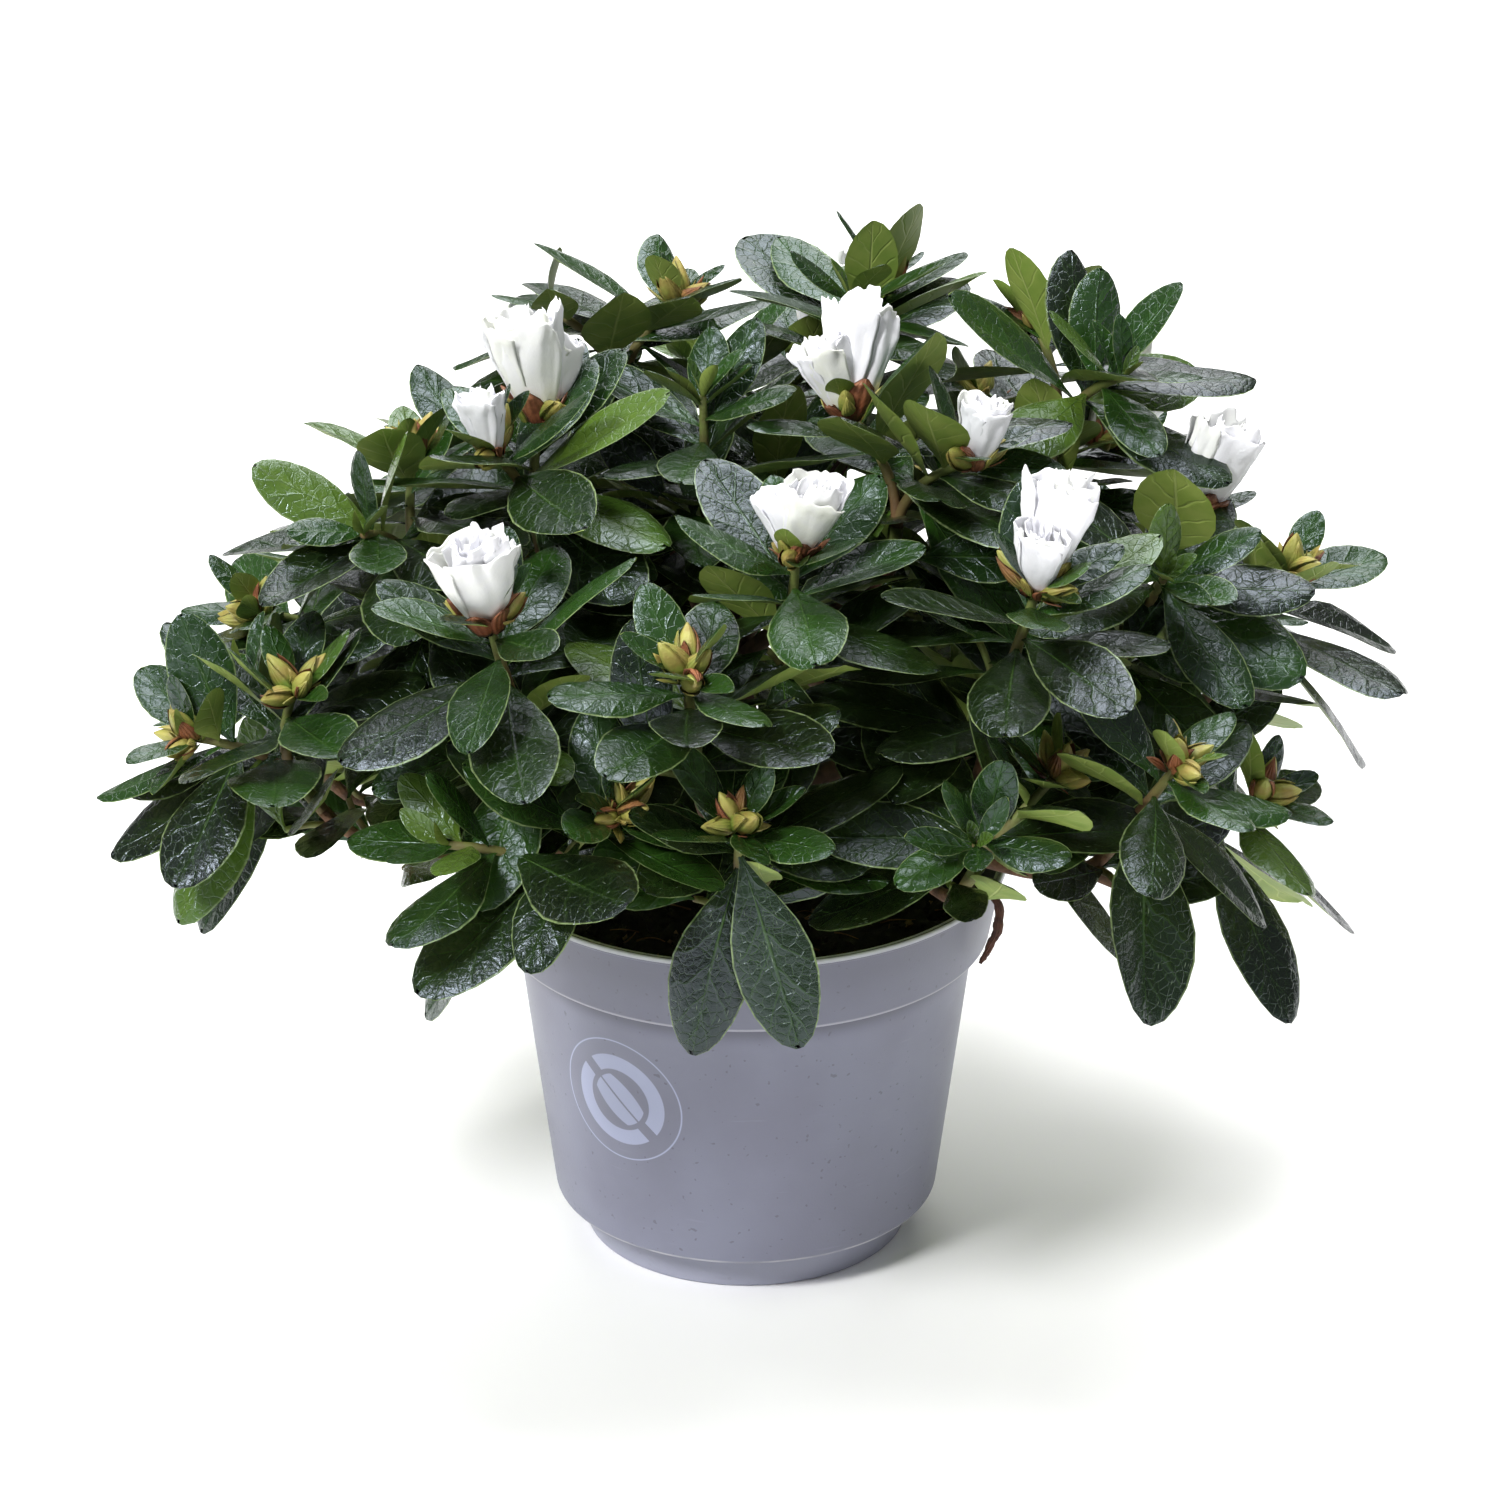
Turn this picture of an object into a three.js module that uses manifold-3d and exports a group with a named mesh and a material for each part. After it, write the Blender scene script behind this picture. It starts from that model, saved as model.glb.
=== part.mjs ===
// A young evergreen azalea in a round nursery pot: a short stem, tapering boughs, and a low dome of
// foliage whose shoots end in whorls of obovate leaves round buds and half-open white blossom.
// Millimetres, +Z up. The origin is the centre of the pot's flat underside; the plant's front is -Y.
import * as THREE from "three";
import { mergeVertices } from "three/addons/utils/BufferGeometryUtils.js";
import Module from "manifold-3d";

const wasm = await Module();
wasm.setup();

// ---------------------------------------------------------------- driving dimensions
const GAP = 0.3; // clearance between touching pieces

const POT = {
  height: 100.5,
  rimRadius: 65, // outside of the rolled lip
  lip: 1.6, // height and thickness of the lip
  wall: 1.3,
  floor: 1.6,
  bandBottom: 80, // the flared band runs from here up to the lip
  bandRadius: 60.6, // outside of the band at its lower edge
  bodyTopRadius: 56.9, // outside of the body just under the band
  bodyFootRadius: 48.4, // outside of the body at its foot
  ledge: 10.6, // height of the inset foot
  footTopRadius: 41.8,
  footRadius: 40.5,
  sides: 32,
  drains: { count: 6, radius: 3, ring: 29 },
};

const COMPOST = { edge: 88.5, middle: 92, flatRadius: 11 }; // heights of its surface

const STEM = { foot: 7.2, neck: 5.2, top: 4.2, height: 25, lean: [2.5, 2], sides: 8 };

const BOUGH = { base: 2.9, sideBase: 2.2, tip: 1.5, sides: 5, steps: 3 };

const DOME = {
  centre: new THREE.Vector3(0, 0, 120),
  size: new THREE.Vector3(135, 130, 105),
  lift: 0.9, // how far the shoots turn up towards the light
};

const TWIG = { knot: 2.3, base: 1.7, tip: 1.3, sides: 3, steps: 2, depth: 34, stalk: 9 };

const LEAF = {
  perShoot: 12,
  turn: 137.5, // degrees from one leaf to the next up the shoot
  outerLength: 50,
  innerLength: 17,
  width: 0.47, // of its length
  widest: 0.57, // share of its length
  fold: 0.06, // fall of its edges under the midrib, of its width
  thickness: 0.026, // of its length, at the midrib
  outerTilt: 100, // degrees from the shoot's axis
  innerTilt: 38,
  spacing: 1.7, // along the shoot
  droop: 0.3, // how far gravity turns the outer leaves
  arch: 0.1, // rise of the midrib over the blade's ends, of its length
  overhang: 16, // how far past the half-way line to the next mass a leaf may reach
  mostFaces: 32, // new faces that fusing one leaf on may make
};

const BLOSSOM = { length: 27, mouth: 11, waist: 6.6, neck: 2.6, sides: 6 };
const BUD = { length: 11, radius: 3.3 };

// The boughs and the masses that they carry. The first mass of a family ends its main bough, which
// leaves the stem; the others are on side boughs that leave the main one. For each mass: the bearing
// (degrees, 0 = +X), reach from the axis and height of its middle; how many shoots it has, how far
// they stand apart and how the row of them is turned; and what each shoot carries:
// F = open blossom, p = a smaller pair, f = one small blossom, b = buds, l = only young leaves.
const FAMILIES = [
  { name: "front", masses: [
    { name: "front_skirt", at: -91, out: 98, up: 152, shoots: 1, apart: 0, turn: 0, carries: "b" },
    { name: "front_shoulder", at: -99, out: 86, up: 184, shoots: 1, apart: 0, turn: 0, carries: "b" },
    { name: "front_blossom", at: -79, out: 60, up: 203, shoots: 1, apart: 0, turn: 0, carries: "p" },
  ] },
  { name: "right_front", masses: [
    { name: "right_front_skirt", at: -36, out: 124, up: 156, shoots: 1, apart: 0, turn: 0, carries: "b" },
    { name: "right_front_low", at: -52, out: 102, up: 148, shoots: 2, apart: 34, turn: 20, carries: "lb" },
    { name: "right_front_blossom", at: -43, out: 92, up: 196, shoots: 1, apart: 0, turn: 0, carries: "F" },
  ] },
  { name: "right", masses: [
    { name: "far_right", at: 4, out: 134, up: 172, shoots: 1, apart: 0, turn: 0, carries: "b" },
    { name: "far_right_low", at: -12, out: 128, up: 128, shoots: 1, apart: 0, turn: 0, carries: "b" },
    { name: "right_blossom", at: -4, out: 104, up: 184, shoots: 2, apart: 50, turn: -8, carries: "lF" },
    { name: "right_back_skirt", at: 30, out: 124, up: 150, shoots: 2, apart: 38, turn: 20, carries: "bl" },
  ] },
  { name: "back_right", masses: [
    { name: "back_right_skirt", at: 60, out: 120, up: 152, shoots: 2, apart: 38, turn: 10, carries: "bb" },
    { name: "back_right_shoulder", at: 44, out: 104, up: 188, shoots: 2, apart: 38, turn: 15, carries: "Fb" },
    { name: "back_skirt", at: 91, out: 118, up: 152, shoots: 2, apart: 38, turn: -10, carries: "lb" },
  ] },
  { name: "back_left", masses: [
    { name: "back_left_skirt", at: 122, out: 120, up: 152, shoots: 2, apart: 38, turn: 15, carries: "bb" },
    { name: "back_shoulder", at: 88, out: 96, up: 196, shoots: 2, apart: 36, turn: -15, carries: "Fl" },
    { name: "back_left_shoulder", at: 130, out: 98, up: 182, shoots: 2, apart: 38, turn: 20, carries: "bb" },
  ] },
  { name: "left", masses: [
    { name: "left_back_skirt", at: 153, out: 124, up: 150, shoots: 2, apart: 38, turn: -15, carries: "lb" },
    { name: "left_shoulder", at: -172, out: 86, up: 200, shoots: 2, apart: 44, turn: -22, carries: "bl" },
    { name: "left_skirt", at: -178, out: 122, up: 148, shoots: 1, apart: 0, turn: 0, carries: "l" },
  ] },
  { name: "front_left", masses: [
    { name: "left_front_skirt", at: -119, out: 100, up: 146, shoots: 2, apart: 42, turn: 25, carries: "lb" },
    { name: "far_left", at: -158, out: 128, up: 158, shoots: 2, apart: 30, turn: 60, carries: "bb" },
    { name: "left_front_blossom", at: -129, out: 94, up: 192, shoots: 1, apart: 0, turn: 0, carries: "F" },
  ] },
  { name: "leader", masses: [
    { name: "crown_middle", at: 150, out: 12, up: 218, shoots: 1, apart: 0, turn: 0, carries: "l" },
    { name: "crown_back_left", at: 122, out: 62, up: 226, shoots: 2, apart: 36, turn: -47, carries: "bl" },
    { name: "crown_left", at: -166, out: 56, up: 216, shoots: 2, apart: 22, turn: -48, carries: "Ff" },
    { name: "crown_front", at: -22, out: 42, up: 216, shoots: 2, apart: 38, turn: 76, carries: "fF" },
    { name: "crown_right", at: 22, out: 88, up: 220, shoots: 2, apart: 42, turn: 4, carries: "lb" },
    { name: "crown_back", at: 62, out: 64, up: 228, shoots: 2, apart: 30, turn: -80, carries: "lb" },
  ] },
];

const COLOURS = {
  pot: 0x8e8f9e,
  compost: 0x1d1512,
  bark: 0x6b4a33,
  foliage: 0x2c4a2c,
};

const JOIN = { tolerances: [0.05, 0.08, 0.03, 0.12, 0], leastEdge: 0.005, sameCorner: 0.003 };

// ---------------------------------------------------------------- small helpers
const UP = new THREE.Vector3(0, 0, 1);
const radians = THREE.MathUtils.degToRad;
const lerp = THREE.MathUtils.lerp;
const scaled = (v, k) => v.clone().multiplyScalar(k);
const plus = (a, b, k = 1) => a.clone().addScaledVector(b, k);
const minus = (a, b) => a.clone().sub(b);

// A repeatable random number from 0 to 1 for each set of whole-number keys.
function chance(...keys) {
  let h = 2166136261;
  for (const key of keys) h = Math.imul(h ^ (key + 101), 16777619);
  h = Math.imul(h ^ (h >>> 15), 2246822507);
  h = Math.imul(h ^ (h >>> 13), 3266489909);
  return ((h ^ (h >>> 16)) >>> 0) / 4294967296;
}

// A number from -1 to 1.
const swing = (...keys) => 2 * chance(...keys) - 1;

// A closed three.js geometry as a solid for joining and cutting.
function solidOf(geometry) {
  const bare = geometry.clone();
  bare.deleteAttribute("normal");
  bare.deleteAttribute("uv");
  const merged = mergeVertices(bare, 1e-4);
  const index = merged.index.array;
  const kept = [];
  for (let i = 0; i < index.length; i += 3) {
    const [a, b, c] = [index[i], index[i + 1], index[i + 2]];
    if (a !== b && b !== c && c !== a) kept.push(a, b, c);
  }
  const make = (triangles) =>
    new wasm.Manifold(
      new wasm.Mesh({
        numProp: 3,
        vertProperties: merged.attributes.position.array,
        triVerts: new Uint32Array(triangles),
      }),
    );
  const solid = make(kept);
  if (solid.volume() > 0) return solid;
  return make(kept.map((_, i) => kept[i - (i % 3) + ((3 - (i % 3)) % 3)]));
}

// The largest body of a solid as a named mesh; loose scraps are dropped.
function meshOf(name, solid, material) {
  const bodies = solid.decompose().sort((a, b) => b.volume() - a.volume());
  const { vertProperties, triVerts, numProp, numVert } = bodies[0].getMesh();
  const places = new Float32Array(numVert * 3);
  for (let i = 0; i < numVert; i++) {
    places.set(vertProperties.subarray(i * numProp, i * numProp + 3), i * 3);
  }
  const geometry = new THREE.BufferGeometry();
  geometry.setAttribute("position", new THREE.BufferAttribute(places, 3));
  geometry.setIndex(new THREE.BufferAttribute(triVerts, 1));
  geometry.computeVertexNormals();
  const mesh = new THREE.Mesh(geometry, material);
  mesh.name = name;
  return mesh;
}

// Whether a solid has no edge too short to survive rounding, and no two corners in one place.
function isClean(solid) {
  const { vertProperties: v, triVerts: t, numProp: n } = solid.getMesh();
  const places = new Set();
  for (let i = 0; i < v.length; i += n) {
    places.add([v[i], v[i + 1], v[i + 2]].map((x) => Math.round(x / JOIN.sameCorner)).join());
  }
  if (places.size < v.length / n) return false;
  for (let i = 0; i < t.length; i++) {
    const a = t[i] * n;
    const b = t[i % 3 === 2 ? i - 2 : i + 1] * n;
    const edge = Math.hypot(v[a] - v[b], v[a + 1] - v[b + 1], v[a + 2] - v[b + 2]);
    if (edge < JOIN.leastEdge) return false;
  }
  return true;
}

// Merges a joined solid's least features, by the first tolerance that leaves it clean.
function simplified(solid) {
  const whole = solid.asOriginal();
  for (const tolerance of JOIN.tolerances) {
    const tried = tolerance ? whole.simplify(tolerance) : whole;
    if (isClean(tried)) return tried;
  }
  return null;
}

const finish = (color, roughness) => new THREE.MeshStandardMaterial({ color, roughness, metalness: 0 });

const MATERIALS = {
  pot: finish(COLOURS.pot, 0.42),
  compost: finish(COLOURS.compost, 0.95),
  bark: finish(COLOURS.bark, 0.85),
  foliage: finish(COLOURS.foliage, 0.4),
};

// Turns a lathe's profile of [radius, height] round +Z.
function turned(profile, sides) {
  const points = profile.map(([r, z]) => new THREE.Vector2(r, z));
  return solidOf(new THREE.LatheGeometry(points, sides).rotateX(Math.PI / 2));
}

// ---------------------------------------------------------------- pot and compost
function potSolid() {
  const { wall, floor, height, lip, rimRadius } = POT;
  const bandTop = rimRadius - lip * 0.7;
  const outside = [
    [0, 0],
    [POT.footRadius, 0],
    [POT.footTopRadius, POT.ledge - 1],
    [POT.bodyFootRadius - 1.6, POT.ledge],
    [POT.bodyFootRadius, POT.ledge + 2.4],
    [POT.bodyTopRadius, POT.bandBottom],
    [POT.bandRadius, POT.bandBottom + 0.4],
    [bandTop, height - lip],
    [rimRadius, height - lip],
    [rimRadius, height - 0.4],
    [rimRadius - 0.6, height],
  ];
  const inside = [
    [bandTop - wall, height],
    [POT.bandRadius - wall, POT.bandBottom + 2],
    [POT.bodyTopRadius - wall, POT.bandBottom - 1],
    [POT.bodyFootRadius - wall, POT.ledge + 3.2],
    [POT.footTopRadius - wall, POT.ledge + 0.6],
    [POT.footRadius - wall, floor],
    [0, floor],
  ];
  let pot = turned([...outside, ...inside], POT.sides);
  const { count, radius, ring } = POT.drains;
  for (let i = 0; i < count; i++) {
    const angle = (i / count) * 2 * Math.PI;
    const drill = new THREE.CylinderGeometry(radius, radius, 4 * floor, 8).rotateX(Math.PI / 2);
    drill.translate(ring * Math.cos(angle), ring * Math.sin(angle), 0);
    pot = pot.subtract(solidOf(drill));
  }
  return pot;
}

// The compost fills the pot, a little clear of its wall, and rises towards the stem.
function compostSolid() {
  const clear = POT.wall + GAP;
  const share = (COMPOST.edge - POT.bandBottom) / (POT.height - POT.bandBottom);
  const edgeRadius = lerp(POT.bandRadius, POT.rimRadius, share) - clear - 1;
  return turned(
    [
      [0, POT.floor + GAP],
      [POT.footRadius - clear, POT.floor + GAP],
      [POT.footTopRadius - clear - 0.2, POT.ledge + 1.2],
      [POT.bodyFootRadius - clear - 0.2, POT.ledge + 4],
      [POT.bodyTopRadius - clear, POT.bandBottom - 1],
      [POT.bandRadius - clear - 0.2, POT.bandBottom + 3],
      [edgeRadius, COMPOST.edge],
      [0.55 * edgeRadius, lerp(COMPOST.edge, COMPOST.middle, 0.6)],
      [COMPOST.flatRadius, COMPOST.middle],
      [0, COMPOST.middle],
    ],
    POT.sides,
  );
}

// ---------------------------------------------------------------- limbs
// A limb is a cylinder bent along a curve, with a radius for each share of its length.
function limbSolid(curve, radiusAt, sides, steps, twist = 0) {
  const geometry = new THREE.CylinderGeometry(1, 1, 1, sides, steps).rotateY(radians(twist));
  const frames = curve.computeFrenetFrames(steps);
  const places = geometry.attributes.position;
  const at = new THREE.Vector3();
  for (let i = 0; i < places.count; i++) {
    at.fromBufferAttribute(places, i);
    const share = at.y + 0.5;
    const step = Math.round(share * steps);
    const radius = radiusAt(share);
    const point = curve.getPoint(share);
    point.addScaledVector(frames.normals[step], at.x * radius);
    point.addScaledVector(frames.binormals[step], at.z * radius);
    places.setXYZ(i, point.x, point.y, point.z);
  }
  return solidOf(geometry);
}

const taper = (from, to) => (share) => lerp(from, to, share);

const STEM_FOOT = new THREE.Vector3(0, 0, COMPOST.middle + GAP);
const STEM_TOP = new THREE.Vector3(...STEM.lean, COMPOST.middle + STEM.height);

const stemCurve = new THREE.CubicBezierCurve3(
  STEM_FOOT,
  plus(STEM_FOOT, UP, 0.4 * STEM.height),
  plus(STEM_TOP, UP, -0.3 * STEM.height),
  STEM_TOP,
);

// The stem flares over its lowest fifth and tapers above it.
function stemRadius(share) {
  const flare = Math.max(0, 1 - share / 0.3) ** 2;
  return lerp(STEM.neck, STEM.top, share) + (STEM.foot - STEM.neck) * flare;
}

const stemSolid = (grow = 0) =>
  limbSolid(stemCurve, (share) => stemRadius(share) + grow, STEM.sides, 6);

// The way a shoot grows at a point of the dome: square to its surface, turned up to the light.
function outward(point) {
  const v = minus(point, DOME.centre);
  v.divide(DOME.size).divide(DOME.size).normalize();
  return plus(v, UP, DOME.lift).normalize();
}

function bearing(degrees, elevation) {
  const [a, e] = [radians(degrees), radians(elevation)];
  return new THREE.Vector3(Math.cos(a) * Math.cos(e), Math.sin(a) * Math.cos(e), Math.sin(e));
}

// The middle of a mass, the way it grows, and the foot of its stalk, where its bough ends.
function placeMass(mass) {
  const flat = bearing(mass.at, 0);
  mass.middle = scaled(flat, mass.out).setZ(mass.up);
  mass.axis = outward(mass.middle);
  mass.foot = plus(mass.middle, mass.axis, -TWIG.depth);
}

// Main boughs leave the stem near its top, in turn higher and lower; side boughs leave the main one.
function boughCurve(family, order, mass, main) {
  const upright = family.name === "leader";
  let start;
  let heading;
  if (!main) {
    const height = upright ? 1 : 0.5 + 0.13 * (order % 4);
    start = stemCurve.getPoint(height);
    heading = upright ? UP.clone() : bearing(mass.at, 38);
  } else {
    start = main.curve.getPoint(main.nextFork);
    heading = plus(main.curve.getTangent(main.nextFork), minus(mass.foot, start).normalize(), 1.4);
    heading.normalize();
    main.nextFork += main.forkStep;
  }
  const length = start.distanceTo(mass.foot);
  return new THREE.CubicBezierCurve3(
    start,
    plus(start, heading, 0.36 * length),
    plus(mass.foot, mass.axis, -0.3 * length),
    plus(mass.foot, mass.axis, -GAP),
  );
}

// ---------------------------------------------------------------- leaves, buds and blossom
// Each is made round the origin, along +X with its upper side to +Z, and then set in its frame.
function framed(geometry, origin, along, above) {
  const x = along.clone().normalize();
  const y = new THREE.Vector3().crossVectors(above, x).normalize();
  const z = new THREE.Vector3().crossVectors(x, y);
  const matrix = new THREE.Matrix4().makeBasis(x, y, z).setPosition(origin);
  return solidOf(geometry).transform(matrix.elements);
}

// A leaf of eight faces: its foot, its tip, the two corners where it is widest, past the middle,
// and a point on each side of the midrib, all raised there by the blade's arch.
function leafGeometry(length, width, thickness, grow) {
  const leaf = new THREE.OctahedronGeometry(1);
  const places = leaf.attributes.position;
  for (let i = 0; i < places.count; i++) {
    const [x, y, z] = [places.getX(i), places.getY(i), places.getZ(i)];
    const share = x < -0.5 ? 0 : x > 0.5 ? 1 : LEAF.widest;
    const rise = x ? 0 : LEAF.arch * length - Math.abs(y) * LEAF.fold * width;
    places.setXYZ(
      i,
      share * length + x * grow,
      y * (0.5 * width + grow),
      rise + z * (0.5 * thickness + grow),
    );
  }
  return leaf;
}

// A bud is a spindle of eight faces.
const budGeometry = () =>
  new THREE.OctahedronGeometry(1).scale(BUD.length / 2, BUD.radius, BUD.radius)
    .translate(BUD.length * 0.42, 0, 0);

// A half-open blossom: a cup with a narrow neck, a waved mouth and a hollow top.
function blossomGeometry(size) {
  const cup = new THREE.CylinderGeometry(1, 1, 1, BLOSSOM.sides, 2).rotateZ(-Math.PI / 2);
  const places = cup.attributes.position;
  for (let i = 0; i < places.count; i++) {
    const [x, y, z] = [places.getX(i) + 0.5, places.getY(i), places.getZ(i)];
    const onRim = Math.hypot(y, z) > 0.5;
    const petal = Math.round((Math.atan2(z, y) / Math.PI) * (BLOSSOM.sides / 2) - 0.5);
    const wave = x > 0.9 && onRim ? (petal % 2 ? 0.1 : -0.08) : 0;
    const radius = x < 0.1 ? BLOSSOM.neck : x < 0.9 ? BLOSSOM.waist : BLOSSOM.mouth * (1 + wave);
    const along = (x > 0.9 && !onRim ? 0.72 : x + wave) * BLOSSOM.length;
    places.setXYZ(i, along * size, y * radius * size, z * radius * size);
  }
  return cup;
}

// ---------------------------------------------------------------- masses
// The tips of a mass's shoots stand in a row across its axis, turned by its own angle.
function shootTips(mass) {
  const side = new THREE.Vector3().crossVectors(UP, mass.axis).normalize();
  side.applyAxisAngle(mass.axis, radians(mass.turn));
  const tips = [];
  for (let k = 0; k < mass.shoots; k++) {
    const offset = (k - (mass.shoots - 1) / 2) * mass.apart;
    tips.push(plus(mass.middle, side, offset));
  }
  return tips;
}

// The stalk of a mass and the twigs that fork from it, as curves.
function twigCurves(mass) {
  const fork = plus(mass.foot, mass.axis, TWIG.stalk);
  const curves = mass.tips.map((tip) => {
    const bend = plus(fork, mass.axis, 0.45 * fork.distanceTo(tip));
    return new THREE.QuadraticBezierCurve3(fork, bend, tip);
  });
  const stalk = new THREE.LineCurve3(mass.foot, plus(fork, mass.axis, 1.2));
  return { stalk, curves };
}

// Turns, in degrees, that a twig or a flower may take to join cleanly.
const TURNS = [0, 17, 34, 51, 68, 85];

// What a shoot's leaf would be: its root on the twig, its direction, the way its upper side faces
// and its length. One try turns it, raises it and shortens it more than the last.
const TRIES = [
  { turn: 0, raise: 0, size: 1 },
  { turn: 24, raise: 0, size: 1 },
  { turn: -24, raise: 0, size: 1 },
  { turn: 0, raise: 24, size: 0.95 },
  { turn: 20, raise: 36, size: 0.85 },
  { turn: -20, raise: 36, size: 0.85 },
  { turn: 0, raise: -14, size: 0.75 },
  { turn: 0, raise: 48, size: 0.7 },
];

function leafPose(mass, shoot, number, attempt) {
  const keys = [mass.number, shoot.number, number];
  const rise = number / (LEAF.perShoot - 1);
  const back = 1 + (LEAF.perShoot - 1 - number) * LEAF.spacing;
  const share = Math.max(0.3, 1 - back / shoot.length);
  const root = shoot.curve.getPoint(share);
  const axis = shoot.axis;
  const side = new THREE.Vector3().crossVectors(UP, axis).normalize();
  const angle = LEAF.turn * number + 360 * chance(...keys.slice(0, 2), 7) + 12 * swing(...keys, 1);
  side.applyAxisAngle(axis, radians(angle + attempt.turn));
  const tilt = lerp(LEAF.outerTilt, LEAF.innerTilt, rise ** 1.5) + 9 * swing(...keys, 2) - attempt.raise;
  const along = plus(scaled(axis, Math.cos(radians(tilt))), side, Math.sin(radians(tilt)));
  along.z -= LEAF.droop * (1 - rise) * (0.6 + 0.8 * chance(...keys, 3));
  along.normalize();
  const above = plus(scaled(axis, 0.6), UP, 0.7);
  above.applyAxisAngle(along, radians(16 * swing(...keys, 4)));
  const fullness = lerp(LEAF.outerLength, LEAF.innerLength, rise ** 1.7);
  const length = fullness * (1 + 0.12 * swing(...keys, 5)) * attempt.size;
  const width = length * LEAF.width * (1 + 0.12 * swing(...keys, 6));
  return { root: plus(root, along, -0.55), along, above, length, width };
}

function leafSolid(pose, grow = 0) {
  const thickness = Math.max(0.5, pose.length * LEAF.thickness);
  const geometry = leafGeometry(pose.length, pose.width, thickness, grow);
  return framed(geometry, pose.root, pose.along, pose.above);
}

// Whether two solids meet, by their boxes first.
function meet(a, b) {
  const [p, q] = [a.box, b.box];
  for (let i = 0; i < 3; i++) if (p.min[i] > q.max[i] || q.min[i] > p.max[i]) return false;
  return !a.solid.intersect(b.solid).isEmpty();
}

const boxed = (solid, owner) => ({ solid, owner, box: solid.boundingBox() });

// A mass's own space ends a little past the half-way line to the next mass's shoots.
function inOwnSpace(point, mass, masses) {
  const own = Math.min(...mass.tips.map((tip) => tip.distanceTo(point)));
  return masses.every((other) =>
    other === mass || other.tips.every((tip) => tip.distanceTo(point) > own - LEAF.overhang));
}

// Leaves are set whorl by whorl over the whole plant, so that no mass crowds out the next.
function growLeaves(masses, fixed) {
  const set = [];
  for (let number = 0; number < LEAF.perShoot; number++) {
    for (const mass of masses) {
      for (const shoot of mass.twigs) {
        for (const attempt of TRIES) {
          const pose = leafPose(mass, shoot, number, attempt);
          const tip = plus(pose.root, pose.along, pose.length);
          if (!inOwnSpace(tip, mass, masses)) continue;
          const grown = boxed(leafSolid(pose, GAP), mass);
          if (fixed.some((piece) => piece.owner !== mass && meet(grown, piece))) continue;
          if (set.some((piece) => piece.owner !== mass && meet(grown, piece))) continue;
          const blade = leafSolid({ ...pose, root: plus(pose.root, pose.along, 0.12 * pose.length),
            length: 0.88 * pose.length });
          const inner = boxed(blade, mass);
          if (set.some((piece) => piece.owner === mass && meet(inner, piece))) continue;
          const leaf = graft(mass, [0], () => leafSolid(pose), LEAF.mostFaces);
          if (!leaf) continue;
          set.push(boxed(leaf, mass));
          mass.leaves += 1;
          break;
        }
      }
    }
  }
}

// Fuses the first variation of a piece that joins cleanly onto a mass, with at most so many new faces.
function graft(mass, turns, make, most = 0) {
  for (const turn of turns) {
    const piece = make(turn);
    const joined = simplified(mass.solid ? mass.solid.add(piece) : piece);
    if (!joined) continue;
    if (most && joined.numTri() - mass.solid.numTri() > most) continue;
    mass.solid = joined;
    return piece;
  }
  return null;
}

// The stalk of a mass, its twigs, and the blossom or buds at their tips.
function growTwigs(mass) {
  const { stalk, curves } = twigCurves(mass);
  const pieces = [];
  const limb = (curve, from, to, sides, steps) =>
    pieces.push(graft(mass, TURNS, (turn) => limbSolid(curve, taper(from, to), sides, steps, turn)));
  limb(stalk, BOUGH.tip, TWIG.knot, BOUGH.sides, 1);
  mass.twigs = curves.map((curve, number) => {
    limb(curve, TWIG.base, TWIG.tip, TWIG.sides, TWIG.steps);
    const tip = mass.tips[number];
    const axis = plus(curve.getTangent(1), outward(tip), 1.5).normalize();
    return { number, curve, tip, axis, length: curve.getLength() };
  });
  for (const shoot of mass.twigs) pieces.push(...growFlowers(mass, shoot));
  return pieces.filter((piece) => piece);
}

// The blossom or buds at a shoot's tip: a pair for open blossom, one for small, two buds otherwise.
function growFlowers(mass, shoot) {
  const kind = mass.carries[shoot.number];
  const side = new THREE.Vector3().crossVectors(UP, shoot.axis).normalize();
  side.applyAxisAngle(shoot.axis, 2 * Math.PI * chance(mass.number, shoot.number, 11));
  const root = plus(shoot.tip, shoot.axis, -1.2);
  const sizes = { F: [1, 0.74], p: [0.76, 0.62], f: [0.62], b: [1, 0.85], l: [] }[kind];
  return sizes.map((size, i) => {
    const lean = radians(sizes.length > 1 ? 30 : 6) * (i ? -1.2 : 1);
    const along = plus(scaled(shoot.axis, Math.cos(lean)), side, Math.sin(lean));
    if (kind !== "b") along.z += 1;
    return graft(mass, TURNS, (turn) => {
      const geometry = kind === "b" ? budGeometry().scale(size, size, size) : blossomGeometry(size);
      const above = side.clone().applyAxisAngle(shoot.axis, radians(turn));
      return framed(geometry, root, along.clone().normalize(), above);
    });
  });
}

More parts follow.
